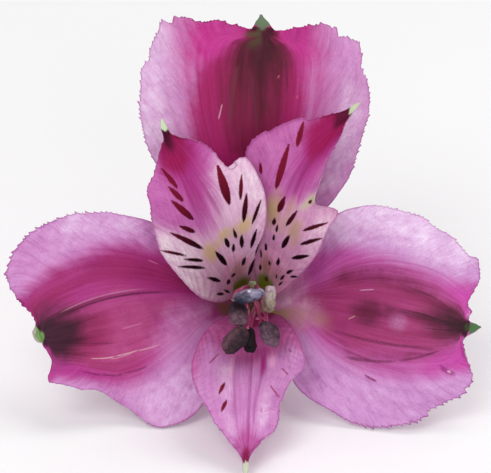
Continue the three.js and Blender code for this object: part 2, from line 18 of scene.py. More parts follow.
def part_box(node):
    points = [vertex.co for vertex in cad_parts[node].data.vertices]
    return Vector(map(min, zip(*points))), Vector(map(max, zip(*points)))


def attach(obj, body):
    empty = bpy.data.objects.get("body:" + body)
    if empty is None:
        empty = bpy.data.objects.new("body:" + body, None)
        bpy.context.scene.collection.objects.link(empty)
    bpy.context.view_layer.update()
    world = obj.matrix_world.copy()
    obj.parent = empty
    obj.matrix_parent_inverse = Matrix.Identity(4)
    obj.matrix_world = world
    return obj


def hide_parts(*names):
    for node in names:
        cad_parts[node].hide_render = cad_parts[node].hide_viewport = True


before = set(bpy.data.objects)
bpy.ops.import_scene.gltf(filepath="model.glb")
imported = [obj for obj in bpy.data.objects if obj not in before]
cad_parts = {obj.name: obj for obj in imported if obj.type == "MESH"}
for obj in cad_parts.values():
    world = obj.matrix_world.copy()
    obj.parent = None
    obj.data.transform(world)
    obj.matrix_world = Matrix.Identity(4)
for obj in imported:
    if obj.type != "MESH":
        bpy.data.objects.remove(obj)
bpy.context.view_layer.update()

# ---- Numbers ---------------------------------------------------------------------------------
def smoothstep(x, low, high):
    t = np.clip((x - low) / (high - low), 0, 1)
    return t * t * (3 - 2 * t)


def unit(vectors):
    length = np.linalg.norm(vectors, axis=-1, keepdims=True)
    return vectors / np.maximum(length, 1e-9)


def walk(points):
    """How far along a row of points each of them lies."""
    return np.append(0, np.cumsum(np.linalg.norm(np.diff(points, axis=0), axis=1)))


def catmull_rom(knots, t):
    """Points of the centripetal Catmull-Rom curve through the knots, for t from 0 to 1."""
    knots = np.asarray(knots, float)
    spans = len(knots) - 1
    knots = np.vstack([2 * knots[0] - knots[1], knots, 2 * knots[-1] - knots[-2]])
    place = spans * np.clip(np.asarray(t, float), 0, 1)
    first = np.minimum(np.floor(place).astype(int), spans - 1)
    w = (place - first)[..., None]
    p0, p1, p2, p3 = (knots[first + k] for k in range(4))
    step = lambda a, b: np.maximum(np.sqrt(np.linalg.norm(b - a, axis=-1)), 1e-4)[..., None]
    d0, d1, d2 = step(p0, p1), step(p1, p2), step(p2, p3)
    leave = ((p1 - p0) / d0 - (p2 - p0) / (d0 + d1) + (p2 - p1) / d1) * d1
    arrive = ((p2 - p1) / d1 - (p3 - p1) / (d1 + d2) + (p3 - p2) / d2) * d1
    return (p1 + leave * w + (3 * (p2 - p1) - 2 * leave - arrive) * w**2
            + (2 * (p1 - p2) + leave + arrive) * w**3)


def ripples(points, size, seed, count=9):
    """A smooth random number from about -1 to 1 for each point, with features of about that size."""
    draw = np.random.default_rng(seed)
    total = np.zeros(points.shape[:-1])
    for _ in range(count):
        way = unit(draw.normal(size=points.shape[-1])) * 2 * math.pi / (size * draw.uniform(1.2, 2.6))
        total += np.sin(points @ way + draw.uniform(0, 2 * math.pi))
    return total / math.sqrt(count)


# ---- Driving dimensions, in millimetres ------------------------------------------------------
MM = 0.001
AXIS_ELEVATION = math.radians(34)  # of the bloom's axis above the table
OUTER_FUNNEL = {"height": 28, "mouth": 3.2, "reach": 11}
INNER_FUNNEL = {"height": 36, "mouth": 2.5, "reach": 9}
SEAT_GAP = 0.3

BLADE = 0.42  # thickness of a tepal between its margins
MARGIN = 0.14  # and at its margins
MARGIN_WIDTH = 1.2  # over which a tepal thins
HORN_START = 0.9  # the s from where a tepal rounds into its green point
TIP_SLIMMING = 0.6  # the share of its width that the very tip of that point loses
TOOTH_DEPTH = 0.8  # how far into the blade a tooth pulls it
EDGE_DEPTH = 3.5  # and a margin's broader unevenness
VEINS = {"height": 0.05, "step": 0.13}  # the step is a share of half a tepal
SWELLS = {"height": 0.12, "size": 5.0}  # low swells beside the margins

OVARY = {"top": -0.6, "length": 7.2, "ribs": 6, "rib_depth": 0.08}
OVARY_PROFILE = [(2.9, 0), (3.3, 0.08), (3.35, 0.3), (3.0, 0.55), (2.2, 0.8), (1.35, 1)]
FILAMENT = {"radius": 0.45, "ring": 1.5}
ANTHER = {"length": 5.2, "width": 3.4, "depth": 2.6}
STYLE = {"radius": 0.45, "tip": (1.2, -5.7, 24.3), "arm_radius": 0.28, "arm_length": 2.2}
STALK = {"radius": 1.0, "bend_end": 15, "length": 52, "drift": 7}

# A station is [left margin, rib, right margin], each as x, y and the rise above the funnel. The
# first station is the foot of the claw, the last the tip. An edge lists how far a margin stands out
# from the smooth one, each as s and millimetres.
TEPALS = {
    "tepal_outer_top": {
        "funnel": OUTER_FUNNEL,
        "slot": "outer_petal",
        "ground": "#ca8ac0",
        "wave": {"size": 0.7, "count": 3.5, "phase": 0.1},
        "teeth": {"from": 36, "left": 0.45, "right": 0.4},
        "left_edge": [
            (38, 0), (47, 0), (50, -0.3), (54, -0.4), (56.5, -0.2), (58, -0.5), (60, -1.2), (62, -0.7),
            (65, -0.6), (68, -0.5), (70, -0.1), (71.5, 0.5), (72.5, -0.9), (73.7, -0.7), (74.5, 0.7),
            (75.2, 0.1), (76, 0.6), (77.5, 0.5), (78.5, 0), (80, 0), (83, 0.8), (85, 0.5), (88, 0.6),
            (90, 0.3), (92, 0),
        ],
        "right_edge": [
            (20, 0), (25, 0.6), (28, 0.5), (30, 0.3), (34, 0.1), (36, -0.1), (40, -0.5), (46, -0.4),
            (48, -0.1), (52, -0.1), (56.5, -0.5), (58, -1), (60, -1.2), (62, -0.7), (64, -0.3), (66, 0.4),
            (67, 0.5), (68, 0.1), (70, -0.2), (71.5, -0.8), (73, 0.6), (74, 0.2), (75, 0.6), (77, 0.7),
            (78, 0.4), (84, 0.1), (88, 0.3), (90, 0.3), (92, 0),
        ],
        "stations": [
            [(-0.8, 3.1, 0), (0, 3.2, 0), (0.8, 3.1, 0)],
            [(-3.2, 6.1, 0), (0.1, 6.9, 0), (3.2, 6.1, 0)],
            [(-7.6, 10.7, 0.3), (0.3, 12, 0), (7.4, 10, 0.3)],
            [(-12.5, 15.3, 0.6), (0.6, 17.4, 0), (12.4, 13.5, 0.6)],
            [(-16.3, 20.5, 0.9), (0.9, 22.7, 0), (16.1, 17.9, 0.9)],
            [(-17.9, 26.6, 1), (1.1, 27.6, 0), (18.3, 24.2, 1)],
            [(-18.2, 32.7, 0.6), (1.3, 32.1, 0), (18.9, 30.9, 0.8)],
            [(-16.8, 38, -0.2), (1.5, 35.8, 0), (17.8, 36.8, 0.2)],
            [(-13.7, 42.1, -0.8), (1.6, 37.8, -0.2), (13.6, 40.5, -0.6)],
            [(-6.7, 41.8, -1), (1.7, 39, -0.4), (8.4, 40.9, -0.8)],
            [(-0.4, 40.7, -0.7), (1.7, 40.2, -0.6), (4, 40.4, -0.7)],
            [(0.9, 42.7, -0.4), (1.4, 43.1, -0.4), (2, 42.8, -0.4)],
        ],
    },
    "tepal_outer_right": {
        "funnel": OUTER_FUNNEL,
        "slot": "outer_petal",
        "ground": "#cb90c8",
        "wave": {"size": 0.7, "count": 3, "phase": 0.6},
        "teeth": {"from": 38, "left": 0.3, "right": 0.5},
        "left_edge": [
            (20, 0), (24, 0.7), (27, 1.1), (30, 0.9), (32, 0.6), (36, 0.3), (40, 0.1), (48, 0.3),
            (50, 0.2), (52, -0.3), (54, -0.5), (56, -0.3), (58, 0), (62, 0.2), (67, 0.2), (68, 0.8),
            (69, 1), (70, 0.7), (71, 0.2), (74, 0), (76, -0.2), (78, -0.6), (80, -0.9), (82, -1.1),
            (84, -0.9), (86, -0.5), (88, -0.1), (90, 0),
        ],
        "right_edge": [
            (22, 0), (26, -0.6), (28, -0.9), (32, -1.1), (34, -1.1), (36, -0.9), (38, -0.6), (40, -0.3),
            (44, 0), (50, -0.1), (54, -0.2), (56, -0.5), (57, -0.9), (58, -1.1), (60, -1), (62, -0.8),
            (64, -0.5), (66, 0.1), (68, 0.3), (69, -0.1), (70, 0.4), (72, 0.3), (74, -0.1), (78, -0.3),
            (80, 0),
        ],
        "stations": [
            [(3.2, -0.3, 0), (3, -1.1, 0), (2.6, -1.8, 0)],
            [(6, 2.4, 0), (6.2, -1.1, 0), (4.4, -4.1, 0)],
            [(10, 6.7, 0.2), (10.5, -1.9, 0), (5, -10.2, 0.2)],
            [(14.3, 10.5, 0.6), (14.8, -2.9, 0), (7.4, -18, -0.6)],
            [(19.5, 12.1, 0.8), (19.6, -4, 0), (13.4, -22, -2.3)],
            [(25.1, 10.7, 0.8), (24, -5.2, 0), (20.4, -23.2, -3.2)],
            [(30, 8.5, 0.3), (28, -6.2, 0), (26.8, -22.3, -2.8)],
            [(33.4, 4.9, -0.2), (31, -7, -0.1), (31.8, -19.4, -1.6)],
            [(36.3, 1.2, -0.8), (32.8, -7.4, -0.2), (34.8, -15.4, -1)],
            [(35.5, -3.4, -0.6), (33.5, -7.6, -0.3), (33.5, -11, -0.6)],
            [(34.5, -6.4, -0.4), (34.3, -7.8, -0.4), (33.8, -9.3, -0.4)],
            [(36.3, -7.3, 0), (36.4, -7.6, 0), (36.3, -7.9, 0)],
        ],
    },
    "tepal_outer_left": {
        "funnel": OUTER_FUNNEL,
        "slot": "outer_petal",
        "ground": "#ca88c2",
        "wave": {"size": 0.7, "count": 3, "phase": 0.3},
        "teeth": {"from": 40, "left": 0.08, "right": 0.55},
        "left_edge": [
            (41, 0), (44, 0.2), (48, 0.1), (50, 0), (60, 0), (62, 0.2), (63, 0.5), (65, 0.9), (66, 0.8),
            (67, 0.5), (70, 0), (72, 0.1), (73.5, 0.6), (76, 0.3), (77, 0), (78, -0.3), (80, -0.5),
            (82, -0.3), (84, -0.1), (88, 0.3), (90, 0.3), (92, 0),
        ],
        "right_edge": [
            (34, 0), (38, 0.1), (40, 0.3), (46, 0.4), (48, 0.8), (50, 0.9), (58, 1.1), (61, 1.1), (66, 1),
            (68, 0.8), (70, 0.6), (74, 0.1), (76, 0.1), (78, 0.3), (80, 0.2), (82, -0.2), (84, -0.4),
            (86, -0.5), (90, -0.3), (93, 0),
        ],
        "stations": [
            [(-2.6, -1.8, 0), (-3, -1.1, 0), (-3.2, -0.3, 0)],
            [(-4.2, -4.3, 0), (-6.2, -1.3, 0), (-6, 2.6, 0)],
            [(-5.2, -10.1, 0.2), (-10.5, -2.1, 0), (-10.2, 6.7, 0.2)],
            [(-6.5, -17.1, -0.6), (-15.2, -3.2, 0), (-15, 9.6, 0.6)],
            [(-10.3, -21.9, -2), (-20, -4.5, 0), (-20.5, 10.7, 0.8)],
            [(-15.4, -23, -2.6), (-24.4, -5.8, 0), (-26.3, 10.4, 0.8)],
            [(-20.6, -19.8, -2.2), (-28.2, -7, 0), (-32, 8.2, 0.3)],
            [(-26.1, -16.8, -1.4), (-31, -7.9, -0.1), (-36.4, 4.9, -0.2)],
            [(-31.7, -16.2, -1), (-32.5, -8.4, -0.2), (-38.9, 0.2, -0.8)],
            [(-32.4, -12.6, -0.6), (-33.2, -8.7, -0.3), (-36.2, -4.1, -0.6)],
            [(-33.2, -10.2, -0.4), (-33.8, -8.9, -0.4), (-34.6, -7.2, -0.4)],
            [(-34.2, -9.8, 0), (-34.5, -9, 0), (-34.4, -8.3, 0)],
        ],
    },
    "tepal_inner_upper_left": {
        "funnel": INNER_FUNNEL,
        "slot": "inner_petal",
        "ground": "#e6bbd8",
        "wave": {"size": 0.3, "count": 2.5, "phase": 0.2},
        "teeth": {"from": 50, "left": 0.22, "right": 0.22},
        "left_edge": [
            (12, 0), (18, -0.4), (24, -0.3), (36, 0), (46, -0.1), (50, -0.6), (60, -0.5), (62, -0.3),
            (66, 0.4), (68, 0.4), (72, 0), (80, 0), (82, -0.3), (86, -0.6), (90, -0.3), (93, 0),
        ],
        "right_edge": [
            (30, 0), (36, -0.3), (46, -0.4), (54, 0), (58, 0.3), (70, 0.3), (76, 0.6), (80, 0.3),
            (84, -0.1), (90, -0.1), (93, 0),
        ],
        "stations": [
            [(-2.4, 0.4, 0), (-2, 1.4, 0), (-0.8, 2.3, 0)],
            [(-3.6, -0.4, 0), (-2.8, 2.7, 0), (0.1, 3.9, 0.6)],
            [(-5.3, -2, 0), (-3.5, 4.1, 0), (0.7, 6, 1.6)],
            [(-8.2, -1.9, 0), (-4.4, 5.9, 0), (2, 9, 2.2)],
            [(-11.6, 0.9, 0), (-5.4, 7.8, 0), (2.5, 12.2, 2.2)],
            [(-14.6, 4.3, 0), (-6.5, 9.8, 0), (1.6, 15.6, 2)],
            [(-16.2, 8.3, 0), (-7.8, 12.2, 0), (-1.2, 18.9, 1.7)],
            [(-16.5, 12.6, 0), (-9.6, 15.4, 0), (-3.9, 17.3, 1)],
            [(-15.5, 16.3, 0.2), (-11.5, 18.5, 0.2), (-6.6, 19.6, 0.6)],
            [(-14.6, 20.2, 0.6), (-13.1, 21.2, 0.6), (-10.3, 21.5, 0.8)],
            [(-14.4, 22.3, 1), (-13.8, 22.6, 1), (-12.9, 22.4, 1)],
            [(-14.6, 24.4, 1.4), (-14.3, 24.5, 1.4), (-14, 24.4, 1.4)],
        ],
    },
    "tepal_inner_upper_right": {
        "funnel": INNER_FUNNEL,
        "slot": "inner_petal",
        "ground": "#d79cc2",
        "wave": {"size": 0.3, "count": 2.5, "phase": 0.7},
        "teeth": {"from": 50, "left": 0.22, "right": 0.22},
        "left_edge": [
            (50, 0), (54, 0.7), (58, 1.1), (62, 1.2), (64, 0.8), (70, 0.8), (74, 0.7), (76, 0.1),
            (84, 0.1), (88, 0),
        ],
        "right_edge": [(12, 0), (16, -0.2), (36, -0.2), (42, 0), (46, 0.3), (48, 0.3), (54, 0)],
        "stations": [
            [(0.8, 2.3, 0), (2, 1.4, 0), (2.4, 0.4, 0)],
            [(0.4, 4.3, -1.2), (2.7, 2.9, 0), (4.4, 0.2, 0)],
            [(0.1, 6.5, -1.8), (3.5, 4.8, 0), (7.4, 1.6, 0)],
            [(-0.6, 9.9, -1.4), (4.2, 6.8, 0), (10.4, 4.4, 0)],
            [(-1.1, 13, -1.1), (4.9, 8.9, 0), (12.1, 7.8, 0)],
            [(-1.3, 16.4, -1), (5.7, 11.2, 0), (13.4, 10.5, 0)],
            [(-0.3, 19.9, -0.6), (6.8, 13.9, 0), (9.9, 12, 0.4)],
            [(2.9, 22.2, 0), (8.5, 17.1, 0), (10.5, 14.9, 0.6)],
            [(7.3, 24.1, 0.2), (10.7, 20.2, 0.2), (12, 18.5, 0.6)],
            [(11.3, 25, 0.6), (13.2, 23.1, 0.6), (13.9, 22, 0.8)],
            [(14.8, 26, 1), (15.2, 25.2, 1), (15.2, 24.8, 1)],
            [(16.7, 27.2, 1.4), (16.9, 27, 1.4), (17.1, 26.7, 1.4)],
        ],
    },
    "tepal_inner_lower": {
        "funnel": INNER_FUNNEL,
        "slot": "lower_petal",
        "ground": "#cd86c2",
        "wave": {"size": 0.4, "count": 3, "phase": 0.4},
        "teeth": {"from": 55, "left": 0.2, "right": 0.2},
        "left_edge": [
            (50, 0), (54, 0.4), (62, 0.5), (64, 0), (72, 0), (74, 0.3), (78, 0.6), (80, 0), (82, -0.3),
            (84, -0.2), (88, -0.4), (92, -0.2), (97, 0),
        ],
        "right_edge": [
            (66, 0), (70, -0.2), (72, -0.4), (74, -0.6), (78, -0.6), (80, -0.3), (84, -0.5), (88, -0.4),
            (92, -0.2), (97, 0),
        ],
        "stations": [
            [(1.2, -2.1, 0), (0, -2.45, 0), (-1.2, -2.1, 0)],
            [(3, -2.9, 0.2), (0, -3.7, 0), (-2.9, -2.9, 0.2)],
            [(5, -4.5, 0.5), (-0.1, -5.6, 0), (-4.9, -4.5, 0.5)],
            [(6.5, -7.1, 0.8), (-0.2, -8, 0), (-7.1, -7.1, 0.8)],
            [(7.9, -10.7, 1.2), (-0.4, -11.2, 0), (-8.9, -10.9, 1.2)],
            [(8.2, -14.1, 1.2), (-0.6, -14.8, 0), (-9.6, -14.9, 1.2)],
            [(5.4, -17, 1.2), (-0.7, -18.4, 0.1), (-8.7, -18.4, 1.2)],
            [(4.3, -20, 1.2), (-0.9, -21.9, 0.3), (-7, -21.2, 1.2)],
            [(3.9, -23.4, 1.3), (-1, -25.2, 0.6), (-5.6, -24.4, 1.3)],
            [(1.6, -26.2, 1.5), (-1, -27.6, 1), (-3.2, -26.9, 1.5)],
            [(-0.4, -29.2, 1.7), (-1.1, -29.7, 1.5), (-1.6, -29.4, 1.7)],
            [(-0.75, -32, 2.2), (-1.1, -32.1, 2.2), (-1.45, -32, 2.2)],
        ],
    },
}

BUNDLE = [(0, 0, -SEAT_GAP), (0, -0.1, 8), (0, -1.8, 16), (0, -4.4, 22), (0, -6.8, 26.5)]

STAMENS = [
    {"start": 120, "middle": (-0.5, -3.0, 30.4), "points": (0.86, 0.1, 0.5), "roll": 80},
    {"start": 180, "middle": (-2.2, -5.8, 28.9), "points": (0.1, -0.72, 0.68), "roll": 0},
    {"start": 240, "middle": (-2.7, -10.1, 30.2), "points": (-0.69, -0.7, 0.2), "roll": 0},
    {"start": 300, "middle": (-0.4, -9.7, 27.0), "points": (0, -0.6, 0.8), "roll": 90},
    {"start": 0, "middle": (2.8, -9.0, 29.0), "points": (0.2, -0.75, 0.62), "roll": 0},
    {"start": 60, "middle": (2.8, -3.1, 26.8), "points": (0.1, 0.45, 0.88), "roll": 90},
]

# ---- Streaks ---------------------------------------------------------------------------------
# Dark dashes on the tepals: x and y of the outer end, x and y of the throat end, and the width.
STREAKS = {
    "tepal_inner_upper_left": [
        (-14.4, 17.1, -11.9, 14.3, 0.76), (-13.3, 14.4, -11, 12.4, 0.87), (-12.8, 12.3, -9.5, 9.9, 1.09),
        (-11.7, 8.7, -9.2, 8.1, 0.76), (-13.1, 7.5, -8, 5.9, 0.87), (-14.8, 4.6, -10.7, 4.4, 0.48),
        (-11, 3.8, -7.9, 4.2, 0.54), (-11.9, 2.5, -7.6, 3.2, 0.54), (-7.3, 1.8, -5.2, 1.9, 0.65),
        (-5.8, -0.4, -4.7, 0.1, 0.48), (-4.7, 0.7, -3.7, 0.7, 0.44), (-4.1, 1.8, -3.7, 2.5, 0.48),
        (-3.4, 3, -2.8, 3.5, 0.33), (-6, 5.8, -4.2, 4.4, 0.91), (-5.5, 17.7, -3.7, 12.5, 1.42),
        (-1.7, 16.5, -1.9, 13, 0.65), (-0.9, 13.8, -1.4, 10.1, 0.83), (1.4, 12.9, 0, 9.8, 0.54),
        (-3, 9.1, -2.6, 7.9, 0.54), (-4.4, 7.9, -3.8, 6.7, 0.76), (-3, 7.2, -3.1, 6.2, 0.54),
        (-1.7, 8.4, -1.7, 6.8, 0.7), (0.7, 9, -0.2, 6.8, 0.61), (-1.1, 5.6, -1.6, 4.7, 0.54),
        (0.4, 5.4, -0.6, 3.6, 0.54), (1.4, 7.5, 0.5, 5.9, 0.33),
    ],
    "tepal_inner_upper_right": [
        (8.1, 24.3, 7.1, 20.7, 0.87), (5.8, 21, 3.8, 14.7, 1.09), (1.2, 18.6, 1.4, 16.7, 0.54),
        (5.2, 13.4, 4.2, 11.4, 0.98), (7.2, 11.3, 5.5, 9.4, 0.7), (3.7, 10.6, 3.4, 9.7, 0.65),
        (4.1, 9.7, 3.9, 8.7, 0.44), (3.5, 8.4, 3.5, 7.6, 0.44), (6, 8, 4.9, 6.5, 0.83),
        (12, 9.1, 8.2, 8.4, 0.61), (11.1, 6.9, 7.8, 6.5, 0.61), (9.1, 4.6, 6.5, 4.8, 0.65),
        (2.2, 7.4, 2.3, 6.5, 0.44), (1.4, 6.7, 1.5, 5.7, 0.33), (4.3, 5.2, 4.2, 4.3, 0.61),
        (1.3, 4.9, 1.4, 4.2, 0.44), (2.7, 5.1, 3, 4.6, 0.33), (4, 3.2, 4, 2.6, 0.26),
        (6.6, 3, 5.6, 2.9, 0.54), (7.4, 1.9, 6.2, 2.2, 0.35), (5.3, 2.7, 4.7, 2.2, 0.48),
        (5, 1.8, 4.4, 1.5, 0.39), (9.5, 12.6, 9, 12.2, 0.54),
    ],
    "tepal_inner_lower": [(-5.3, -18.8, -4.4, -16.8, 0.55), (-4.9, -21.7, -4.1, -19.8, 0.6)],
}

# ---- Fine lines ------------------------------------------------------------------------------
# Lines thinner than the mesh, drawn by the material: colour, strength, width in q, and the s and q
# of both ends.
LINES = {
    "tepal_outer_top": [
        ("#e7b4c6", 0.6, 0.9, 47.5, -32, 42.5, -36),
        ("#d0607c", 0.6, 1.2, 56.2, 15.5, 57.6, 16.5),
        ("#d0607c", 0.6, 1.2, 50.1, 32.5, 51.3, 33.5),
        ("#6a3844", 0.45, 3, 40, -26, 62, -20),
        ("#5c2c3c", 0.45, 2, 38, 0, 60, -10),
        ("#4a1528", 0.45, 1.2, 50, 11, 88, 10),
        ("#4a1528", 0.5, 1.2, 50, 24, 86, 20),
    ],
    "tepal_outer_right": [
        ("#ecc4dc", 0.45, 0.8, 31, -15, 35.8, -17),
        ("#e6c6a6", 0.45, 0.9, 29.6, 15, 31.6, 10),
        ("#86265e", 0.9, 1.6, 38.3, 59, 42.2, 63),
        ("#8e2470", 0.75, 5, 60, 50, 67.5, 74),
        ("#f0c4dc", 0.7, 2, 63.4, 61, 65.2, 65),
        ("#4c1a30", 0.5, 2, 25, 30, 58, 28),
        ("#5c2040", 0.6, 2, 31, 50, 47, 43),
        ("#5c2040", 0.6, 2, 46, 43, 62, 32),
        ("#4c1a30", 0.5, 1.2, 42, -27, 76, -20),
        ("#2e1220", 0.65, 1.2, 42, -5, 90, 0),
        ("#2e1220", 0.5, 0.9, 50, 10, 85, 6),
    ],
    "tepal_outer_left": [
        # These four pale lines are painted highlights, streaks of sheen along the blade.
        ("#dcb2b6", 0.65, 0.9, 55.7, -41, 45, -36.2),
        ("#dcb2b6", 0.65, 0.9, 45.5, -36.3, 37.5, -36),
        ("#dcb2b6", 0.6, 0.8, 38.5, -36.2, 31, -39),
        ("#dcb2b6", 0.5, 0.6, 48, -39, 39.5, -37),
        ("#5c1c40", 0.6, 1.6, 64, -70, 54, -59),
        ("#5c1c40", 0.6, 1.6, 55, -60, 45, -52),
        ("#5c1c40", 0.5, 1.4, 46, -52, 37, -51),
        ("#481630", 0.7, 1.4, 61, 14, 20, 16),
        ("#cf92b0", 0.4, 1.2, 61, 18, 28.5, 20),
        ("#e8a0b8", 0.5, 0.9, 28.5, 55, 25.5, 52),
        ("#d484ac", 0.4, 1.2, 40.5, -14, 33, -14),
        ("#481630", 0.4, 1, 40, -25, 75, -18),
    ],
    "tepal_inner_lower": [
        ("#9c3c62", 0.8, 3, 37.2, 56, 42.5, 71),
        ("#a0305c", 0.8, 3, 44.5, -57, 49.2, -79),
        ("#a0305c", 0.8, 3.5, 52, -47, 61.5, -90),
        ("#b84a8c", 0.6, 4, 62, -41, 65, -43),
        ("#9c3c62", 0.6, 3, 31, 76, 29, 64),
        ("#8c2c60", 0.6, 3, 36, -74, 38.2, -79),
    ],
}

# ---- Colour zones ----------------------------------------------------------------------------
BELT_FADE = 0.08  # how far a belt takes to fade in or out, as a share of what lies beyond it
SPOT_FADE = (0.3, 1.5)  # where a spot starts and ends to fade, as shares of its reach


def belt(strength, soft, *edges):
    """Cover between two edges along the blade, each (s, low q, high q), or (s, q) for -q to q.

    There is no cover where the low edge lies above the high one.
    """
    full = [edge if len(edge) == 3 else (edge[0], -edge[1], edge[1]) for edge in edges]
    at, low, high = np.array(full).T / 100
    soft = soft / 100

    def cover(s, q):
        lower, upper = np.interp(s, at, low), np.interp(s, at, high)
        inside = smoothstep(q, lower - soft, lower + soft)
        inside = inside * (1 - smoothstep(q, upper - soft, upper + soft))
        if at[0] > 0:
            inside = inside * smoothstep(s, at[0], at[0] + BELT_FADE * (1 - at[0]))
        if at[-1] < 1:
            inside = inside * (1 - smoothstep(s, at[-1] - BELT_FADE * (1 - at[-1]), at[-1]))
        return strength * inside
    return cover


def cap(start, widened, whole, half):
    """Cover of a tepal's point: none at start, half to both sides of the rib, then the whole width."""
    return belt(1, 30, (start, -40), (widened, half), (whole, 130), (100, 130))


def spot(strength, *place):
    """Cover that fades out from one place on the blade: its s and q, and how far it reaches in them."""
    s0, q0, s_reach, q_reach = np.array(place) / 100

    def cover(s, q):
        away = np.hypot((s - s0) / s_reach, (q - q0) / q_reach)
        return strength * (1 - smoothstep(away, *SPOT_FADE))
    return cover


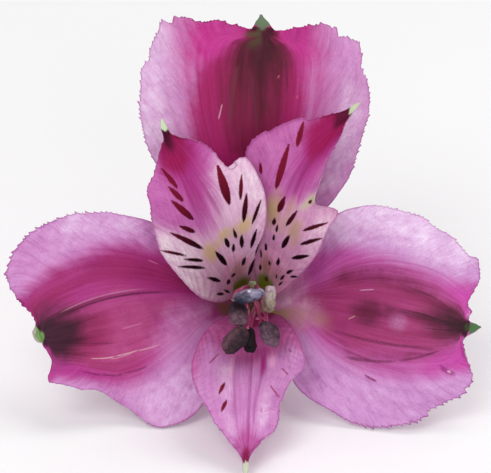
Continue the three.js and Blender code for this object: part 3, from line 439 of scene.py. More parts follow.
# Zones lie over a tepal's ground colour, in order: a name, a colour and its shapes.
ZONES = {
    "tepal_outer_top": [
        # bloom: a paler wing colour with painted sheen over it.
        ("bloom", "#e0bbdf",
         belt(0.7, 16, (20, -120, -90), (35, -120, -74), (50, -110, -70), (64, -110, -78),
              (72, -110, -95), (78, -120, -120)),
         spot(0.5, 42, 85, 14, 16)),
        ("flush", "#b92a82",
         belt(0.95, 28, (0, 110), (30, -60, 56), (50, -58, 50), (60, -64, 54), (70, -80, 72),
              (76, -100, 90), (82, 130), (100, 130))),
        ("band", "#a01f60",
         belt(0.94, 9, (0, 90), (20, -62, 50), (39, -60, 41), (48.5, -57, 39), (57, -52, 35),
              (61, -46, 32), (64, -36, 31), (71, 31), (82, -34, 38), (86, -45, 50), (90, 80), (95, 120))),
        ("core", "#741c3a",
         belt(0.85, 12, (22, -30), (34, -28, 16), (50, -34, 22), (60, -34, 26), (80, 28), (85, 46),
              (90, 90))),
        ("dusk", "#3a161f",
         belt(0.88, 18, (30, -15), (42, -4), (52, 8), (62, -20, 17), (72, -25, 24), (84, -25, 28),
              (90, 65), (94, 120)),
         spot(0.5, 56, 2, 14, 10)),
        # The claw is painted lighter to offset the shade of the deep throat: painted light.
        ("painted_light_base", "#dc9cc0", belt(1, 30, (0, 130), (9, 130), (15, -30))),
    ],
    "tepal_outer_right": [
        # bloom: a paler wing colour with painted sheen over it.
        ("bloom", "#e9c6ea",
         belt(0.85, 20, (16, -70, -120), (27, -130, -74), (40, -140, -66), (55, -140, -66),
              (66, -140, -82), (76, -140, -130))),
        ("flush", "#c256a6",
         belt(0.95, 13, (0, 110), (14, -110, 80), (21, -80, 52), (26.5, -68, 50), (34, 52),
              (42.5, -48, 56), (52.5, -46, 56), (60, -52, 60), (65.5, -60, 68), (72, -78, 85),
              (80, 130), (100, 130))),
        ("blush", "#c03a9c",
         belt(0.6, 12, (52, 50, 45), (60, 36, 60), (68, 36, 66), (75, 38, 90), (85, 50, 120)),
         belt(0.5, 12, (60, -40, -40), (70, -60, -30), (80, -90, -30), (86, -110, -50))),
        ("band", "#9c3566",
         belt(0.9, 20, (4, -10), (16, -30, 16), (26, -42, 40), (34, -40, 46), (47, -40, 42), (56, 38),
              (65, -34, 32), (75, -32, 30), (82, 34), (87, 50), (92, 120))),
        ("core", "#60203a",
         belt(0.8, 14, (42, -20), (50, 2), (60, 22), (70, -30, 28), (80, -32, 30), (88, 60)),
         belt(0.45, 8, (20, -42, -26), (34, -40, -24), (43, -38, -22), (51, -34, -20), (60, -30, -16)),
         belt(0.4, 5, (26, 30, 34), (34, 44, 50), (47, 36, 42), (60, 28, 34)),
         spot(0.85, 35, 5, 5.5, 13), spot(0.5, 40, 2, 4, 10)),
        ("sheen", "#c088b8", spot(0.5, 44.5, 8, 3, 7)),
        ("dusk", "#331822",
         belt(0.95, 16, (46, 16, -20), (56, 0), (65, -14, 12), (74, 20), (82, -30, 28), (88, 60),
              (93, 120)),
         belt(0.75, 2.5, (38, -3, -1), (50, -3, 1), (70, -4, 0))),
        # The claw is painted lighter to offset the shade of the deep throat: painted light.
        ("painted_light_base", "#dfa6c8", spot(0.95, 5, -50, 8, 110), spot(0.6, 12, 30, 8, 40)),
    ],
    "tepal_outer_left": [
        # bloom: paler colour with painted sheen over it.
        ("bloom", "#dfb6e0", spot(0.6, 36, -80, 12, 20), spot(0.5, 42, 95, 14, 20)),
        ("flush", "#af3386",
         belt(0.95, 14, (0, 110), (15, -50, 80), (28, -40, 70), (36, -55, 67), (44, -62, 64),
              (48, -66, 58), (54, -74, 60), (63, -86, 64), (71.5, -90, 70), (76, -120, 85), (82, 130),
              (100, 130))),
        ("shade", "#982a60",
         belt(0.9, 16, (8, 60, 10), (14, 20, 50), (22, 22, 58), (34, 24, 60), (42, 28, 58),
              (50, 28, 50), (56, 26, 54), (63, 22, 56), (73, 20, 62), (80, 10, 70), (88, 0, 60))),
        ("band", "#b24c80",
         belt(0.9, 16, (10, 36, -16), (20, 2, 6), (28, -16, 11), (34, -34, 15), (38, -45, 17),
              (46, -50, 16), (55, -53, 15), (62, -52, 16), (70, -46, 20), (80, -40, 25), (88, 50),
              (94, 120))),
        ("core", "#982b5c",
         belt(0.85, 16, (34, -20), (44, -16, 6), (52, -40, 14), (62, -50, 20), (78, -40, 20)),
         belt(0.5, 6, (36, -50, -42), (60, -55, -42))),
        ("vein", "#5a1c3a",
         belt(0.7, 3, (16, 16, 17), (40, 15, 17), (60, 12, 16), (78, 10, 20)),
         belt(0.4, 2, (28, 8, 9), (50, 6, 7), (70, 4, 8))),
        ("dusk", "#351a28",
         belt(0.95, 22, (42, -10), (50, -6, 4), (58, -30, 20), (66, -50, 30), (72, -56, 34),
              (80, -50, 42), (88, 80), (94, 120))),
        # The claw is painted lighter to offset the shade of the deep throat: painted light.
        ("painted_light_base", "#d48cc2",
         belt(0.7, 20, (6, -20), (12, -40, 2), (18, -50, -2), (25, -42, -10), (32, -40, -36),
              (40, -30, -60))),
    ],
    "tepal_inner_upper_left": [
        ("lit", "#f3dce9",
         spot(0.8, 38, -80, 13, 28), spot(0.3, 46, 75, 6, 30), spot(0.4, 46, 18, 4, 10)),
        ("lilac", "#c469ae",
         belt(1, 36, (30, -50), (40, -10, 0), (48, -50, 20), (56, -110, 30), (64, -150, 50), (76, 150),
              (100, 150))),
        ("flush", "#ab3283",
         belt(0.95, 34, (42, -40), (54, 10), (64, -40, 30), (74, 80), (84, -140, 150), (100, 150))),
        ("rib", "#8f2a66",
         belt(0.6, 8, (42, -10), (50, -12, -4), (70, -12, -2), (86, -25, 15)),
         belt(0.4, 8, (44, 20, 20), (56, 16, 22), (80, 18, 26))),
        ("crimson", "#94104c",
         belt(0.9, 30, (60, 50, -60), (72, -60, 30), (80, -90, 70), (86, 150), (92, 150))),
        # The throat is painted lighter to offset the shade it lies in: painted light.
        ("throat", "#f2b6d6", belt(0.8, 30, (0, 130), (10, 130), (20, 40), (30, -40))),
        ("dusk", "#480a26",
         belt(0.95, 30, (70, 35, -60), (80, -40, 10), (88, -100, 50), (92, 140), (95, 140))),
    ],
    "tepal_inner_upper_right": [
        ("lit", "#efd3e3", spot(0.4, 36, 85, 12, 30)),
        ("lilac", "#bf66a8",
         belt(1, 34, (36, -40), (44, -100, -20), (50, -140, 10), (58, -150, 50), (66, 150), (100, 150)),
         spot(0.5, 50, -80, 10, 30)),
        ("flush", "#a93484",
         belt(0.95, 34, (44, -40), (54, 10), (66, 40), (76, 80), (86, -140, 150), (100, 150))),
        ("rib", "#84265c", belt(0.75, 10, (48, -10), (56, -8, 0), (70, -10, 8), (88, 30))),
        ("crimson", "#960f50",
         belt(0.9, 30, (60, 40, -60), (72, -60, 30), (80, -100, 60), (86, 150), (92, 150))),
        # The throat is painted lighter to offset the shade it lies in: painted light.
        ("throat", "#eba4cc", belt(0.75, 30, (0, 130), (10, 130), (20, -60, 40), (30, -40))),
        ("dusk", "#5a0a2e",
         belt(0.95, 30, (76, 50, -60), (84, -50, 10), (88, -100, 50), (92, 140), (95, 140))),
    ],
    "tepal_inner_lower": [
        # bloom: paler colour with painted sheen over it.
        ("bloom", "#e6bade",
         spot(0.5, 50, 45, 8, 16), spot(0.5, 62, -50, 10, 20), spot(0.4, 70, 50, 8, 20)),
        ("flush", "#c25a9a",
         belt(0.85, 30, (0, 140), (22, 140), (32, 90), (44, 0), (56, -40)),
         belt(0.8, 14, (15, 90, 130), (30, 80, 130), (46, 90, 130), (60, 120, 130)),
         belt(0.8, 14, (15, -130, -90), (30, -130, -80), (44, -130, -110))),
        ("throat", "#9c2c62", belt(0.9, 30, (0, 140), (10, 130), (16, 50), (24, -40))),
        # A painted highlight on a fold of the blade.
        ("painted_fold_highlight", "#f0a6d2", spot(0.8, 40, -42, 4, 7), spot(0.5, 44, 30, 5, 6)),
        ("patch", "#a81e78", spot(0.95, 42, -26, 6, 6), spot(0.5, 37, -30, 3, 20)),
        ("vein", "#95307a",
         belt(0.75, 4, (34, -6, -2), (60, -8, -2), (80, -12, 0)),
         belt(0.55, 4, (34, 6, 8), (50, 7, 9), (62, 6, 6)),
         belt(0.6, 5, (36, 20, 23), (60, 28, 34), (72, 26, 28)),
         belt(0.5, 4, (40, -30, -28), (55, -26, -22), (70, -24, -20))),
        ("tip", "#b03a8a", belt(0.7, 30, (62, -40), (74, 30), (84, 120), (93, 140))),
        ("dusk", "#8e1850", belt(0.95, 30, (74, -30), (84, 30), (89, 90), (91, 140), (93, 140))),
    ],
}

# And these zones, most of them green or yellow, lie over the veins too.
GREENS = {
    "tepal_outer_top": [
        ("rust", "#5a4a36", spot(0.75, 88.5, -30, 6, 25), spot(0.45, 80, -10, 10, 10)),
        ("horn", "#66785e", cap(90, 94, 96, 40)),
    ],
    "tepal_outer_right": [
        ("moss", "#3c4a2c", belt(0.85, 25, (80, 20, -30), (88, -40, 5), (93, -70, 40), (95, 120))),
        ("olive", "#a59650", spot(0.95, 3, 85, 6, 34), spot(0.7, 8.5, 62, 3.5, 22)),
        ("tan", "#b9867c", spot(0.6, 12, 42, 6, 26), spot(0.35, 19, 26, 6, 14)),
        ("horn", "#4c6e46", cap(91, 93.5, 95, 50)),
    ],
    "tepal_outer_left": [
        ("olive", "#85603f", spot(0.8, 4.5, -40, 5, 80)),
        ("horn", "#76975a",
         belt(1, 12, (80, 12, 2), (86, -20, 16), (90, -50, 40), (93, 130), (100, 130))),
    ],
    "tepal_inner_upper_left": [
        ("honey", "#d6bd8e",
         spot(0.95, 33.5, -26, 4.5, 16), spot(0.9, 35.5, 12, 3.5, 14), spot(0.95, 32.5, 52, 4.5, 20),
         spot(0.6, 34, -7, 3, 12), spot(0.7, 34, 30, 3, 16)),
        ("horn", "#c9d8b4", cap(90, 92.5, 95, 50)),
        ("tawny", "#a4744e", spot(0.5, 13, 30, 5, 40)),
        ("nectary", "#86882c", belt(1, 30, (0, -90, 110), (6, -60, 90), (8.5, -20, 70), (12, 50, 20))),
    ],
    "tepal_inner_upper_right": [
        ("honey", "#b99a76",
         spot(0.95, 43, -30, 8, 17), spot(0.8, 38, 26, 6, 14), spot(0.6, 33, 36, 4, 12),
         spot(0.5, 39, -5, 6, 18), spot(0.5, 48, 2, 5, 12)),
        ("lip", "#c3c49a",
         belt(0.85, 14, (45, 26, 12), (50, 24, 40), (53.5, 38, 60), (56.5, 50, 120), (59, 74, 130),
              (61, 100, 130))),
        ("horn", "#c2cba8", cap(90, 92.5, 95, 50)),
        ("tawny", "#a4744e", spot(0.7, 15, -30, 5, 30), spot(0.4, 14, 30, 4, 40)),
        ("nectary", "#868c2e", belt(1, 30, (0, -100, 90), (7, -80, 70), (10, -50, 40), (14, 10, -40))),
        ("fleck", "#3f2414", spot(0.9, 8, -12, 1.6, 16)),
    ],
    "tepal_inner_lower": [("horn", "#c6ceb4", cap(89, 92, 94, 50))],
}

# ---- From the bloom's face to the frame ------------------------------------------------------
LEAN = np.array([
    [1, 0, 0],
    [0, math.sin(AXIS_ELEVATION), -math.cos(AXIS_ELEVATION)],
    [0, math.cos(AXIS_ELEVATION), math.sin(AXIS_ELEVATION)],
])


def find_origin():
    """Where the frame holds the bloom's own origin, from the middles of the anthers."""
    found = []
    for number, stamen in enumerate(STAMENS, 1):
        low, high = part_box(f"anther_{number}")
        found.append(np.array((low + high) / 2) - LEAN @ np.array(stamen["middle"]) * MM)
    return np.mean(found, axis=0)


ORIGIN = find_origin()


def to_row(points):
    return np.asarray(points) @ LEAN.T * MM + ORIGIN


# ---- Meshes ----------------------------------------------------------------------------------
def placed(name, data):
    """A new object in the scene."""
    made = bpy.data.objects.new(name, data)
    bpy.context.scene.collection.objects.link(made)
    return made


def add_piece(name, points, faces, material, node, marks):
    """A piece of the bloom that replaces a CAD node, with the marks at each of its points."""
    mesh = bpy.data.meshes.new(name)
    mesh.from_pydata(np.asarray(points).tolist(), [], [list(face) for face in faces])
    for key, values in marks.items():
        mesh.attributes.new(key, "FLOAT", "POINT").data.foreach_set("value", values.astype(np.float32))
    mesh.polygons.foreach_set("use_smooth", [True] * len(mesh.polygons))
    mesh.materials.append(material)
    mesh.update()
    made = placed(name, mesh)
    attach(made, "root")
    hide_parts(node)


def grid_faces(rows, columns, around=False):
    """Quads of a grid of points whose columns follow each other, closed round if asked."""
    steps = np.arange(columns if around else columns - 1)
    row, column = np.meshgrid(np.arange(rows - 1), steps, indexing="ij")
    a = row * columns + column
    b = row * columns + (column + 1) % columns
    return np.stack([a, b, b + columns, a + columns], -1).reshape(-1, 4)


# ---- A tepal's blade -------------------------------------------------------------------------
OUTER_GRID = (660, 66)
INNER_GRID = (320, 66)


def surface(tepal, s, q):
    """The tepal's smooth front."""
    stations = np.array(tepal["stations"], float)
    left, rib, right = (catmull_rom(stations[:, side], s) for side in range(3))
    half = (right - left) / 2
    bow = (left + right) / 2 - rib
    point = rib + half * q[..., None] + bow * q[..., None] ** 2
    funnel, wave = tepal["funnel"], tepal["wave"]
    rho = np.maximum(np.hypot(point[..., 0], point[..., 1]), funnel["mouth"])
    ripple = wave["size"] * np.sin(2 * math.pi * (wave["count"] * s + wave["phase"]) + q)
    free = smoothstep(s, 0.25, 0.6) * smoothstep(1 - s, 0.08, 0.3)
    point[..., 2] += funnel["height"] * (1 - np.exp(-(rho - funnel["mouth"]) / funnel["reach"]))
    point[..., 2] += ripple * free * np.abs(q) ** 3
    return point


def even_rows(tepal, count):
    """Values of s whose rows lie evenly along the margins and the rib."""
    s = np.linspace(0, 1, 1500)
    walked = sum(walk(surface(tepal, s, np.full_like(s, q))) for q in (-1, 0, 1))
    return np.interp(np.linspace(0, 1, count), walked / walked[-1], s)


def graded_columns(count):
    """Values of q that lie closer together towards the margins."""
    u = np.linspace(-1, 1, count)
    return u * (1.2 - 0.2 * u * u)


def teeth(walked, size, seed):
    """How far a margin stands out at each place along it: sharp uneven teeth that lean to the tip."""
    draw = np.random.default_rng(seed)
    places, heights, at = [0.0], [0.0], 0.0
    while at < walked[-1]:
        length = draw.choice([0.45, 0.6, 0.8, 1.2]) * draw.uniform(0.8, 1.2)
        height = size * draw.uniform(0.4, 1.0) * min(length / 0.7, 1.3)
        places += [at + 0.5 * length, at + 0.86 * length, at + length]
        heights += [0.3 * height, height, 0.0]
        at += length
    return np.interp(walked, places, heights)


def streak_depth(point, streaks):
    """How deep each point lies inside a streak, in millimetres, and below zero outside them all."""
    depth = np.full(point.shape[:-1], -1.0)
    place = point[..., :2]
    for x0, y0, x1, y1, width in streaks:
        outer, inner = np.array([x0, y0]), np.array([x1, y1])
        way = inner - outer
        t = np.clip((place - outer) @ way / (way @ way), 0, 1)
        away = np.linalg.norm(place - outer - t[..., None] * way, axis=-1)
        radius = width / 2 * np.sin(math.pi * (0.04 + 0.92 * t**1.3)) ** 0.6
        depth = np.maximum(depth, radius - away)
    return depth


def tepal_blade(name, grid):
    """The closed blade of a tepal: its points, its faces and what the materials read at them."""
    tepal = TEPALS[name]
    seed = sum(map(ord, name))
    rows, columns = grid
    s, q = np.meshgrid(even_rows(tepal, rows), graded_columns(columns), indexing="ij")
    rib = surface(tepal, s, 0 * q)
    slimmed = 1 - TIP_SLIMMING * smoothstep(s, 0.965, 1)
    point = rib + (surface(tepal, s, q) - rib) * slimmed[..., None]

    along = unit(np.gradient(point, axis=0))
    across = np.gradient(point, axis=1)
    across = unit(across - along * np.sum(across * along, -1, keepdims=True))
    normal = unit(np.cross(across, along))
    half = np.linalg.norm(point[:, -1] - point[:, 0], axis=-1)[:, None] / 2
    inside = (1 - np.abs(q)) * half

    # The unevenness and the teeth of both margins.
    toothed = tepal["teeth"]["from"] / 100
    free = smoothstep(s, toothed - 0.06, toothed + 0.04) * (1 - smoothstep(s, 0.86, 0.91))
    near_margin = np.clip(1 - inside / TOOTH_DEPTH, 0, 1) * smoothstep(np.abs(q), 0.2, 0.8)
    broad = np.clip(1 - inside / EDGE_DEPTH, 0, 1) * smoothstep(np.abs(q), 0, 0.7)
    for side, column, key in ((-1, 0, "left"), (1, columns - 1, "right")):
        tooth = teeth(walk(point[:, column]), tepal["teeth"][key], seed + 10 * side)
        tooth = tooth[:, None] * free * near_margin * (q * side > 0)
        places, heights = np.array(tepal[key + "_edge"]).T
        stands = np.interp(s[:, 0], places / 100, heights, left=0, right=0)[:, None] * broad * (q * side > 0)
        point += side * across * (tooth + stands)[..., None] + 0.5 * along * tooth[..., None]

    # Veins run from the claw along the rib and fan out; near the margins they turn further out.
    vein = q * (0.2 + 0.8 * s**1.4) ** (-np.abs(q) ** 0.8)
    steps = np.linalg.norm(np.diff(rib, axis=0), axis=-1)
    walked = np.vstack([np.zeros(columns), np.cumsum(steps, axis=0)])
    away = np.abs(q) * half
    relief = VEINS["height"] * np.cos(2 * math.pi * vein / VEINS["step"])
    relief *= smoothstep(s, 0.05, 0.3) * (1 - smoothstep(s, 0.85, 0.95))
    swells = SWELLS["height"] * ripples(point, SWELLS["size"], seed + 5)
    relief += swells * smoothstep(np.abs(q), 0.3, 0.9) * free

    # The thickness, and the rounded horn at the tip.
    horn = smoothstep(s, HORN_START, 0.97)
    swell = np.sqrt(np.clip(1 - q * q, 0, 1))
    thick = MARGIN + (BLADE - MARGIN) * np.clip(inside / MARGIN_WIDTH, 0, 1) ** 0.5
    thick = thick * (1 - horn) + (MARGIN + 0.9 * half * swell) * horn
    front = point + normal * (relief + horn * 0.45 * half * swell)[..., None]
    back = point + normal * (relief * 0.8 - thick)[..., None]

    size = rows * columns
    faces = grid_faces(rows, columns)
    index = np.arange(size).reshape(rows, columns)
    rim = np.concatenate([index[0], index[1:, -1], index[-1, -2::-1], index[-2:0:-1, 0]])
    after = np.roll(rim, -1)
    edge = np.stack([rim, rim + size, after + size, after], -1)

    marks = {
        "vein": vein,
        "along": s,
        "across": q,
        "fringe": walked - 1.1 * away + 100 * (q > 0),
        "outreach": walked + away,
        "outward": np.hypot(point[..., 0], point[..., 1]),
        "inside": inside,
        "streak": streak_depth(point, STREAKS.get(name, [])),
    }
    for zone, _, *shapes in ZONES[name] + GREENS[name]:
        marks["zone_" + zone] = np.max([shape(s, q) for shape in shapes], axis=0)
    marks = {key: np.tile(values.ravel(), 2) for key, values in marks.items()}
    marks["back"] = np.repeat([0.0, 1.0], size)
    points = np.concatenate([front.reshape(-1, 3), back.reshape(-1, 3)])
    return points, np.concatenate([faces, faces[:, ::-1] + size, edge]), marks


# ---- Materials -------------------------------------------------------------------------------
def linear(hex_colour):
    """A colour written as #rrggbb, as Blender's linear RGBA."""
    parts = [int(hex_colour[i:i + 2], 16) / 255 for i in (1, 3, 5)]
    return [c / 12.92 if c <= 0.04045 else ((c + 0.055) / 1.055) ** 2.4 for c in parts] + [1.0]


class Graph:
    """A material's node tree, with a short call for each kind of node that is used here."""

    def __init__(self, name):
        self.material = bpy.data.materials.new(name)
        self.material.use_nodes = True
        self.tree = self.material.node_tree
        self.tree.nodes.clear()

    def node(self, kind, inputs, output=0, **settings):
        made = self.tree.nodes.new("ShaderNode" + kind)
        for key, value in settings.items():
            setattr(made, key, value)
        for socket, value in inputs.items():
            if isinstance(value, bpy.types.NodeSocket):
                self.tree.links.new(value, made.inputs[socket])
            else:
                made.inputs[socket].default_value = value
        return made.outputs[output] if made.outputs else None

    def mark(self, name):
        return self.node("Attribute", {}, "Fac", attribute_name=name)

    def place(self):
        """The point's place in the frame, in millimetres."""
        place = self.node("TexCoord", {}, "Object")
        return self.node("VectorMath", {0: place, 3: 1 / MM}, operation="SCALE")

    def math(self, operation, a, b=0.0, c=0.0):
        return self.node("Math", {0: a, 1: b, 2: c}, operation=operation)

    def times(self, a, b):
        return self.math("MULTIPLY", a, b)

    def minus(self, a, b):
        return self.math("SUBTRACT", a, b)

    def times_plus(self, a, b, c):
        return self.math("MULTIPLY_ADD", a, b, c)

    def noise(self, at, scale, detail=2.0, roughness=0.5):
        inputs = {"Vector": at, "Scale": scale, "Detail": detail, "Roughness": roughness}
        return self.node("TexNoise", inputs, "Fac")

    def strands(self, across, count, along, stretch, detail=2.0):
        """Noise drawn out into lines: so many to one of the mark across, and along the other mark."""
        across, along = self.times(self.mark(across), count), self.times(self.mark(along), stretch)
        return self.noise(self.node("CombineXYZ", {0: across, 1: along}), 1.0, detail)

    def ramp(self, value, low, high, start=0.0, end=1.0):
        """start where value is low, end where it is high, and a smooth step between."""
        inputs = {0: value, 1: low, 2: high, 3: start, 4: end}
        return self.node("MapRange", inputs, interpolation_type="SMOOTHSTEP")

    def mix(self, share, a, b, blend="MIX"):
        a, b = (linear(c) if isinstance(c, str) else c for c in (a, b))
        return self.node("Mix", {0: share, 6: a, 7: b}, 2, data_type="RGBA", blend_type=blend)

    def blend(self, share, a, b):
        """From the number a to the number b by share."""
        return self.times_plus(b, share, self.times(a, self.minus(1.0, share)))

    def weighed(self, *terms):
        """The sum of some values, each times its weight."""
        total = 0.0
        for value, weight in terms:
            total = self.times_plus(value, weight, total)
        return total

    def bump(self, height, millimetres, strength=1.0):
        return self.node("Bump", {"Height": height, "Distance": millimetres * MM, "Strength": strength})

    def finish(self, colour, normal=None, **settings):
        """The surface, with plain numbers set on the shader's own sockets."""
        socket = lambda key: key.replace("_", " ").title().replace("Ior", "IOR")
        inputs = {socket(key): value for key, value in settings.items()}
        inputs["Base Color"] = colour
        if normal is not None:
            inputs["Normal"] = normal
        shader = self.node("BsdfPrincipled", inputs)
        self.node("OutputMaterial", {"Surface": shader})
        return self.material


DEEP = [0.7, 0.48, 0.66, 1]  # what a vein multiplies the petal's colour by
PALE = [1.15, 1.5, 1.2, 1]  # and what the strips between veins do
RIM = [0.62, 0.3, 0.55, 1]  # and the very edge of a margin
PETAL_BACK = "#d9b3cf"


def petal_material(name):
    graph = Graph(name)
    along, across, place = graph.mark("along"), graph.mark("across"), graph.place()

    # Lines follow the veins, and on a tepal's wings they run out to the margins.
    wing = graph.ramp(graph.times_plus(along, 0.15, graph.math("ABSOLUTE", across)), 0.5, 0.85)
    lines = graph.blend(wing, graph.strands("vein", 11.0, "along", 3.0, 3.0),
                        graph.strands("fringe", 0.75, "outreach", 0.12, 3.0))
    hairs = graph.blend(wing, graph.strands("vein", 34.0, "along", 7.0),
                        graph.strands("fringe", 2.4, "outreach", 0.3))
    strands = graph.strands("vein", 4.5, "along", 1.5)
    cloud = graph.noise(place, 0.22)
    mottle = graph.noise(place, 0.8, 4.0, 0.7)
    grain = graph.noise(place, 4.0, 3.0, 0.7)
    feather = graph.minus(graph.weighed((lines, 3.5), (mottle, 2.5), (cloud, 2.5)), 4.25)

    def zoned(colour, zones):
        """The zones over a colour, feathered along the veins."""
        for zone, hue, *_ in zones:
            cover = graph.mark("zone_" + zone)
            fading = graph.times(cover, graph.minus(1.0, cover))
            colour = graph.mix(graph.times_plus(fading, feather, cover), colour, hue)
        return colour

    colour = zoned(linear(TEPALS[name]["ground"]), ZONES[name])

    # Veins darken the colour, the strips between them lift it, and it mottles like watercolour.
    for value, low, high, share, tint in (
        (strands, 0.48, 0.7, 0.25, DEEP),
        (strands, 0.48, 0.3, 0.15, PALE),
        (lines, 0.5, 0.72, 0.35, DEEP),
        (lines, 0.48, 0.3, 0.3, PALE),
        (hairs, 0.5, 0.72, 0.35, DEEP),
        (hairs, 0.45, 0.3, 0.3, PALE),
        (mottle, 0.48, 0.68, 0.22, PALE),
        (mottle, 0.48, 0.3, 0.22, DEEP),
        (cloud, 0.48, 0.7, 0.25, PALE),
        (cloud, 0.48, 0.3, 0.25, DEEP),
        (grain, 0.5, 0.7, 0.3, DEEP),
        (grain, 0.5, 0.3, 0.3, PALE),
        (graph.mark("inside"), 0.3, 0.05, 0.6, RIM),
    ):
        colour = graph.mix(graph.ramp(value, low, high, 0.0, share), colour, tint, "MULTIPLY")

    colour = zoned(colour, GREENS[name])

    for hue, strength, *places in LINES.get(name, []):
        width, s0, q0, s1, q1 = (percent / 100 for percent in places)
        reach = graph.math("DIVIDE", graph.minus(along, s0), s1 - s0)
        aside = graph.minus(across, graph.times_plus(reach, q1 - q0, q0))
        wavy = graph.times_plus(graph.minus(strands, 0.5), 0.03, aside)
        cover = graph.ramp(graph.math("ABSOLUTE", wavy), width, 0.3 * width, 0.0, strength)
        ends = graph.times(graph.ramp(reach, 0.0, 0.2), graph.ramp(reach, 1.0, 0.8))
        worn = graph.times(ends, graph.ramp(grain, 0.3, 0.5, 0.4, 1.0))
        colour = graph.mix(graph.times(cover, worn), colour, hue)

    if name in STREAKS:
        ragged = graph.times_plus(graph.minus(grain, 0.5), 0.3, graph.mark("streak"))
        ink = graph.mix(graph.ramp(graph.mark("outward"), 9.0, 19.0), "#1c0007", "#74082a")
        colour = graph.mix(graph.ramp(ragged, -0.1, 0.08), colour, ink)

    colour = graph.mix(graph.times(graph.mark("back"), 0.45), colour, PETAL_BACK)
    height = graph.weighed((lines, 0.6), (hairs, 0.25), (grain, 0.15))
    return graph.finish(colour, graph.bump(height, 0.08, 0.6), roughness=0.5, specular_ior_level=0.1)


def anther_material(name, ground, dust_and_light):
    graph = Graph(name)
    place = graph.place()
    cloud = graph.noise(place, 0.6, 3.0, 0.6)
    pollen = graph.noise(place, 5.0, 3.0, 0.7)
    # One side of each anther is painted lighter than the rest: partly pollen dust, partly painted light and
    # shade.
    dust_and_light_share = graph.times_plus(graph.minus(cloud, 0.5), 3.0, graph.mark("dust_and_light_share"))
    colour = graph.mix(graph.ramp(dust_and_light_share, -0.7, 0.8), ground, dust_and_light)
    for share, tint in (
        (graph.ramp(pollen, 0.48, 0.68, 0.0, 0.8), [1.45, 1.35, 1.35, 1]),
        (graph.ramp(pollen, 0.5, 0.3, 0.0, 0.7), [0.55, 0.48, 0.52, 1]),
        # The creases are darkened: painted shade.
        (graph.times(graph.mark("crease"), 0.6), [0.4, 0.3, 0.34, 1]),
    ):
        colour = graph.mix(share, colour, tint, "MULTIPLY")
    # A painted highlight: the glint spot is mixed to near white.
    colour = graph.mix(graph.mark("glint"), colour, "#f2f0f6")
    return graph.finish(colour, graph.bump(pollen, 0.2), roughness=0.6, specular_ior_level=0.3)


def filament_material(name, foot, head, streak):
    graph = Graph(name)
    lines = graph.strands("around", 7.0, "along", 4.0)
    colour = graph.mix(graph.ramp(graph.mark("along"), 0.1, 0.75), foot, head)
    # The pale streaks are painted highlights, as on glossy filaments.
    colour = graph.mix(graph.ramp(lines, 0.5, 0.68, 0.0, 0.8), colour, streak)
    return graph.finish(colour, graph.bump(lines, 0.1, 0.5), roughness=0.35, specular_ior_level=0.3)


def stalk_material(name, ground, ribs, cut):
    graph = Graph(name)
    place = graph.place()
    cloud = graph.noise(place, 0.35, 3.0)
    grain = graph.noise(place, 6.0)
    lines = graph.strands("around", 14.0, "along", 3.0)
    colour = graph.mix(graph.ramp(lines, 0.4, 0.65), ground, ribs)
    colour = graph.mix(graph.ramp(cloud, 0.5, 0.75, 0.0, 0.35), colour, "#7d5a55")
    colour = graph.mix(graph.mark("cut"), colour, cut)
    colour = graph.mix(graph.mark("throat"), colour, "#6e6a3a")
    height = graph.weighed((lines, 0.7), (grain, 0.3))
    return graph.finish(colour, graph.bump(height, 0.15, 0.6), roughness=0.45, subsurface_weight=0.1,
                        subsurface_radius=(0.3, 0.5, 0.15), subsurface_scale=MM)


# ---- Round pieces along a path ---------------------------------------------------------------
def tube(path, radius, sides, section=None):
    """Points and faces of a closed tube along a path, and the place along and around it."""
    path = np.asarray(path)
    way = unit(np.gradient(path, axis=0))
    side = np.zeros_like(path)
    side[0] = unit(np.cross(way[0], (0.3, 0.9, 0.2)))
    for i in range(1, len(path)):
        side[i] = unit(side[i - 1] - way[i] * (side[i - 1] @ way[i]))
    over = np.cross(way, side)
    turn = np.arange(sides) * 2 * math.pi / sides
    shape = radius[:, None] * (1 if section is None else section(turn)[None, :])
    ring = path[:, None] + (np.cos(turn) * shape)[..., None] * side[:, None]
    ring += (np.sin(turn) * shape)[..., None] * over[:, None]
    count = len(path) * sides
    points = np.concatenate([ring.reshape(-1, 3), path[[0, -1]]])
    faces = [list(face) for face in grid_faces(len(path), sides, around=True)]
    for k in range(sides):
        after = (k + 1) % sides
        faces.append([count, after, k])
        faces.append([count + 1, count - sides + k, count - sides + after])
    marks = {
        "along": np.append(np.repeat(np.linspace(0, 1, len(path)), sides), [0, 1]),
        "around": np.append(np.tile(turn / (2 * math.pi), len(path)), [0, 0]),
    }
    return points, faces, marks


def bundle_path(start, end, steps):
    """A path that starts beside the bundle's line, follows it, and ends at a point of its own."""
    t = np.linspace(0, 1, 7)
    line = catmull_rom(BUNDLE, t)
    spread = smoothstep(t, 0.3, 1)[:, None]
    knots = line + np.asarray(start) * (1 - spread) + (np.asarray(end) - line[-1]) * spread
    return catmull_rom(knots, np.linspace(0, 1, steps))


# ---- Stamens ---------------------------------------------------------------------------------
ANTHER_GRID = (72, 96)
# An anther's ground colour, the colour of its lighter side, partly pollen dust and partly painted light and
# shade, and where in the face that side lies.
ANTHER_LOOKS = [
    ("#20223a", "#a8a0bc", (0.1, 1.0)),
    ("#281722", "#6e505f", (0.1, -1.0)),
    ("#2c1822", "#62404c", (-0.6, 0.4)),
    ("#080305", "#1c0d13", (0.3, 1.0)),
    ("#3c2832", "#745669", (-0.2, -0.6)),
    ("#ada48a", "#c4acb8", (0.2, 1.0)),
]
# A painted highlight, a white glint on the front of one anther: its number, where it lies in the face, and
# its radius.
GLINT = {"anther": 1, "place": (0.0, 0.55), "radius": 0.32}


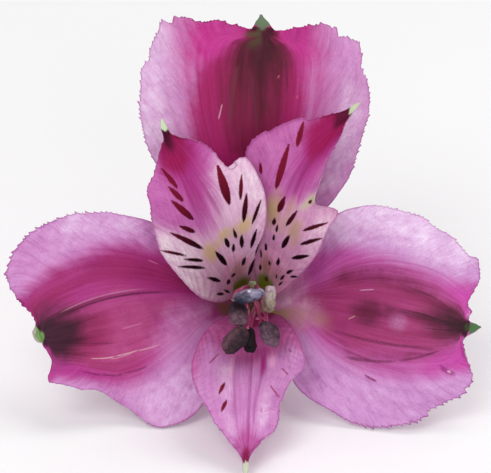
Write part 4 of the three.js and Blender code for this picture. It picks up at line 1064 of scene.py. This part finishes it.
def turn_from_y(way):
    """The rotation that turns +Y to a direction by the shortest way."""
    axis = np.cross((0.0, 1.0, 0.0), way)
    cross = np.array([[0, -axis[2], axis[1]], [axis[2], 0, -axis[0]], [-axis[1], axis[0], 0]])
    return np.eye(3) + cross + cross @ cross / (1 + way[1])


def rolled(degrees):
    """The rotation about Y by so many degrees."""
    c, s = math.cos(math.radians(degrees)), math.sin(math.radians(degrees))
    return np.array([[c, 0, s], [0, 1, 0], [-s, 0, c]])


def anther(number, stamen):
    """Two blunt lobes side by side, each split by a seam and creased, under grains of pollen."""
    rows, sides = ANTHER_GRID
    rises, turns = np.linspace(-0.5, 0.5, rows) * math.pi, np.arange(sides) * 2 * math.pi / sides
    rise, turn = np.meshgrid(rises, turns, indexing="ij")
    body = np.cos(rise) ** 0.55
    x, y, z = body * np.cos(turn), np.sin(rise), body * np.sin(turn)
    cleft = 1 - 0.36 * np.abs(np.sin(turn)) ** 6 * body - 0.14 * np.abs(np.cos(turn)) ** 24 * body
    blunt = 1 - 0.14 * np.abs(np.sin(turn)) ** 2 * np.abs(y) ** 6
    size = (ANTHER["width"], ANTHER["length"], ANTHER["depth"])
    point = np.stack([x * cleft, y * blunt, z * cleft], -1) * size / 2
    crease = np.exp(-(3.5 * ripples(point, 1.3, number + 40)) ** 2)
    lumps = 0.12 * ripples(point, 1.5, number) + 0.04 * ripples(point, 0.35, number + 20) - 0.1 * crease
    point += unit(np.stack([x, 0.4 * y, z], -1)) * (lumps * body)[..., None]
    way = unit(np.array(stamen["points"], float))
    point = point.reshape(-1, 3) @ (turn_from_y(way) @ rolled(stamen["roll"])).T

    ground, dust_and_light, dust_and_light_side = ANTHER_LOOKS[number - 1]
    aside = np.linalg.norm(point[:, :2] - GLINT["place"], axis=1) / GLINT["radius"]
    # Only the front of the glinting anther gets the painted highlight.
    glint_face = (point[:, 2] > 0) & (number == GLINT["anther"])
    marks = {
        # How far each point lies towards the lighter side: partly dust, partly painted light and shade.
        "dust_and_light_share": point[:, :2] @ unit(np.array(dust_and_light_side)) / 2,
        # The material darkens these creases: painted shade.
        "crease": crease.ravel(),
        "glint": glint_face * (1 - smoothstep(aside, 0.5, 1.1)),
    }
    faces = grid_faces(rows, sides, around=True)[:, ::-1]
    add_piece(f"anther_{number}_pollen", to_row(point + np.array(stamen["middle"])), faces,
              anther_material(f"anther_{number}", ground, dust_and_light), f"anther_{number}", marks)
    return way


def filament(number, stamen, way):
    turn = math.radians(stamen["start"])
    foot = FILAMENT["ring"] * np.array([math.cos(turn), math.sin(turn), 0])
    head = np.array(stamen["middle"]) - way * (ANTHER["length"] / 2 + 0.5 * SEAT_GAP)
    path = bundle_path(foot, head, 60)
    t = np.linspace(0, 1, len(path))
    radius = FILAMENT["radius"] * (1 - 0.25 * t) * np.sqrt(np.clip((1 - t) / 0.015, 0.1, 1))
    points, faces, marks = tube(path, radius, 20)
    add_piece(f"filament_{number}_stalk", to_row(points), faces, FILAMENT_SKIN,
              f"filament_{number}", marks)


def style():
    """The style and its three stigma arms, as one piece."""
    tip, reach = np.array(STYLE["tip"]), STYLE["arm_length"]
    path = bundle_path((0, 0, 0), tip, 60)
    parts = [tube(path, STYLE["radius"] * (1 - 0.3 * np.linspace(0, 1, len(path))), 20)]
    forward = unit(path[-1] - path[-2])
    aside = unit(np.cross(forward, (0, 1, 0)))
    above = np.cross(forward, aside)
    t = np.linspace(0, 1, 20)
    for degrees in (90, 210, 330):
        out = aside * math.cos(math.radians(degrees)) + above * math.sin(math.radians(degrees))
        knots = [(-0.6, 0), (0.4 * reach, 0.25), (0.8 * reach, 0.8)]
        arm = catmull_rom([tip + ahead * forward + away * out for ahead, away in knots], t)
        parts.append(tube(arm, STYLE["arm_radius"] * (1 - 0.4 * t**3), 14))
    points, faces, along, around = [], [], [], []
    for part_points, part_faces, marks in parts:
        first = sum(map(len, points))
        faces += [[first + i for i in face] for face in part_faces]
        points.append(part_points)
        along.append(marks["along"] if first == 0 else np.ones(len(part_points)))
        around.append(marks["around"])
    add_piece("style_and_stigma", to_row(np.concatenate(points)), faces, FILAMENT_SKIN, "style",
              {"along": np.concatenate(along), "around": np.concatenate(around)})


# ---- Ovary and stalk -------------------------------------------------------------------------
def ovary_section(turn):
    ribs = OVARY["ribs"]
    return 1 + OVARY["rib_depth"] * np.cos(ribs * turn) - 0.02 * np.cos(2 * ribs * turn)


def ovary():
    t = np.linspace(0, 1, 70)
    profile = catmull_rom([(share, radius) for radius, share in OVARY_PROFILE], t)
    path = np.stack([0 * t, 0 * t, OVARY["top"] - OVARY["length"] * t], -1)
    points, faces, marks = tube(path, profile[:, 1], 144, ovary_section)
    marks["cut"] = np.zeros(len(points))
    marks["throat"] = 1 - smoothstep(marks["along"], 0.25, 0.45)
    material = stalk_material("ovary", "#7f9a4e", "#5f7d3a", "#c9d3a5")
    add_piece("ovary_ribbed", to_row(points), faces, material, "ovary", marks)


def stalk():
    """The flower stalk, from the ovary down to the table and along it to its cut end."""
    radius, bend, drift, sides = STALK["radius"], STALK["bend_end"], STALK["drift"], 48
    away = -LEAN[:, 2]
    start = away * (OVARY["length"] - OVARY["top"] + SEAT_GAP)
    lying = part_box("pedicel")[0].z / MM + radius - ORIGIN[2] / MM
    knots = [start, start + 1.2 * away, (0.3, bend, lying + 0.1), (1.2, bend + 8, lying),
             (drift * 0.55, bend + 22, lying), (drift, STALK["length"], lying)]
    t = np.linspace(0, 1, 260)
    radii = radius * (1 - 0.04 * np.sin(9 * t) ** 2)
    ridges = lambda turn: 1 - 0.03 * (1 - np.cos(6 * turn))
    points, faces, marks = tube(catmull_rom(knots, t), radii, sides, ridges)
    marks["throat"] = np.zeros(len(points))
    # The cut end is pale in its middle, which is the last point, and less so at its rim.
    marks["cut"] = np.append(np.zeros(len(points) - 1), 1.0)
    marks["cut"][-2 - sides:-2] = 0.7
    material = stalk_material("pedicel", "#8aa35a", "#6b8744", "#cfd8ae")
    add_piece("pedicel_stalk", points * MM + ORIGIN, faces, material, "pedicel", marks)


# ---- The bloom -------------------------------------------------------------------------------
for tepal_name in TEPALS:
    detail = OUTER_GRID if "outer" in tepal_name else INNER_GRID
    blade_points, blade_faces, blade_marks = tepal_blade(tepal_name, detail)
    add_piece(tepal_name.replace("tepal", "petal"), to_row(blade_points), blade_faces,
              petal_material(tepal_name), tepal_name, blade_marks)

# The last colour is that of the painted highlight streaks.
FILAMENT_SKIN = filament_material("filament", "#8c1c4e", "#a83a68", "#efbfd2")
for stamen_number, one in enumerate(STAMENS, 1):
    filament(stamen_number, one, anther(stamen_number, one))
style()
ovary()
stalk()

# ---- Stage -----------------------------------------------------------------------------------
VIEW_ELEVATION = math.radians(26)
VIEW_DISTANCE = 600.0  # from the bloom's own origin, in millimetres
VIEW_AIM = (-1.085, 10.6)  # what the camera looks at, right of and above that origin
LENS = 263.5
WORLD_STRENGTH = 0.47


def add_floor():
    mesh = bpy.data.meshes.new("floor")
    mesh.from_pydata([(-3, -3, 0), (3, -3, 0), (3, 3, 0), (-3, 3, 0)], [], [(0, 1, 2, 3)])
    graph = Graph("floor")
    paper = graph.noise(graph.place(), 0.01)
    mesh.materials.append(graph.finish(graph.mix(paper, "#fbfafb", "#fefdfe"), roughness=0.9))
    floor = placed("floor", mesh)


def add_light(name, place, size, power):
    lamp = bpy.data.lights.new(name, "AREA")
    lamp.size = size
    lamp.energy = power
    made = placed(name, lamp)
    made.location = place
    made.rotation_euler = (-Vector(place)).to_track_quat("-Z", "Y").to_euler()


def add_camera():
    data = bpy.data.cameras.new("camera")
    data.lens = LENS
    data.sensor_width = 36
    data.clip_start, data.clip_end = 0.01, 20
    camera = placed("camera", data)
    right = Vector((1, 0, 0))
    up = Vector((0, math.sin(VIEW_ELEVATION), math.cos(VIEW_ELEVATION)))
    back = Vector((0, -math.cos(VIEW_ELEVATION), math.sin(VIEW_ELEVATION)))
    camera.location = Vector(ORIGIN) + (VIEW_AIM[0] * right + VIEW_AIM[1] * up + VIEW_DISTANCE * back) * MM
    camera.rotation_euler = Matrix((right, up, back)).transposed().to_euler()
    bpy.context.scene.camera = camera


def add_world():
    world = bpy.data.worlds.new("studio")
    world.use_nodes = True
    world.node_tree.nodes["Background"].inputs["Color"].default_value = (1, 1, 1, 1)
    world.node_tree.nodes["Background"].inputs["Strength"].default_value = WORLD_STRENGTH
    bpy.context.scene.world = world


add_floor()
add_light("key", (-0.35, -0.75, 0.85), size=0.6, power=4.6)
add_light("front", (0.15, -1.1, 0.42), size=0.6, power=2.6)
add_light("top", (0.3, 0.25, 0.9), size=0.7, power=3.2)
add_world()
add_camera()
bpy.context.scene.view_settings.view_transform = "Standard"
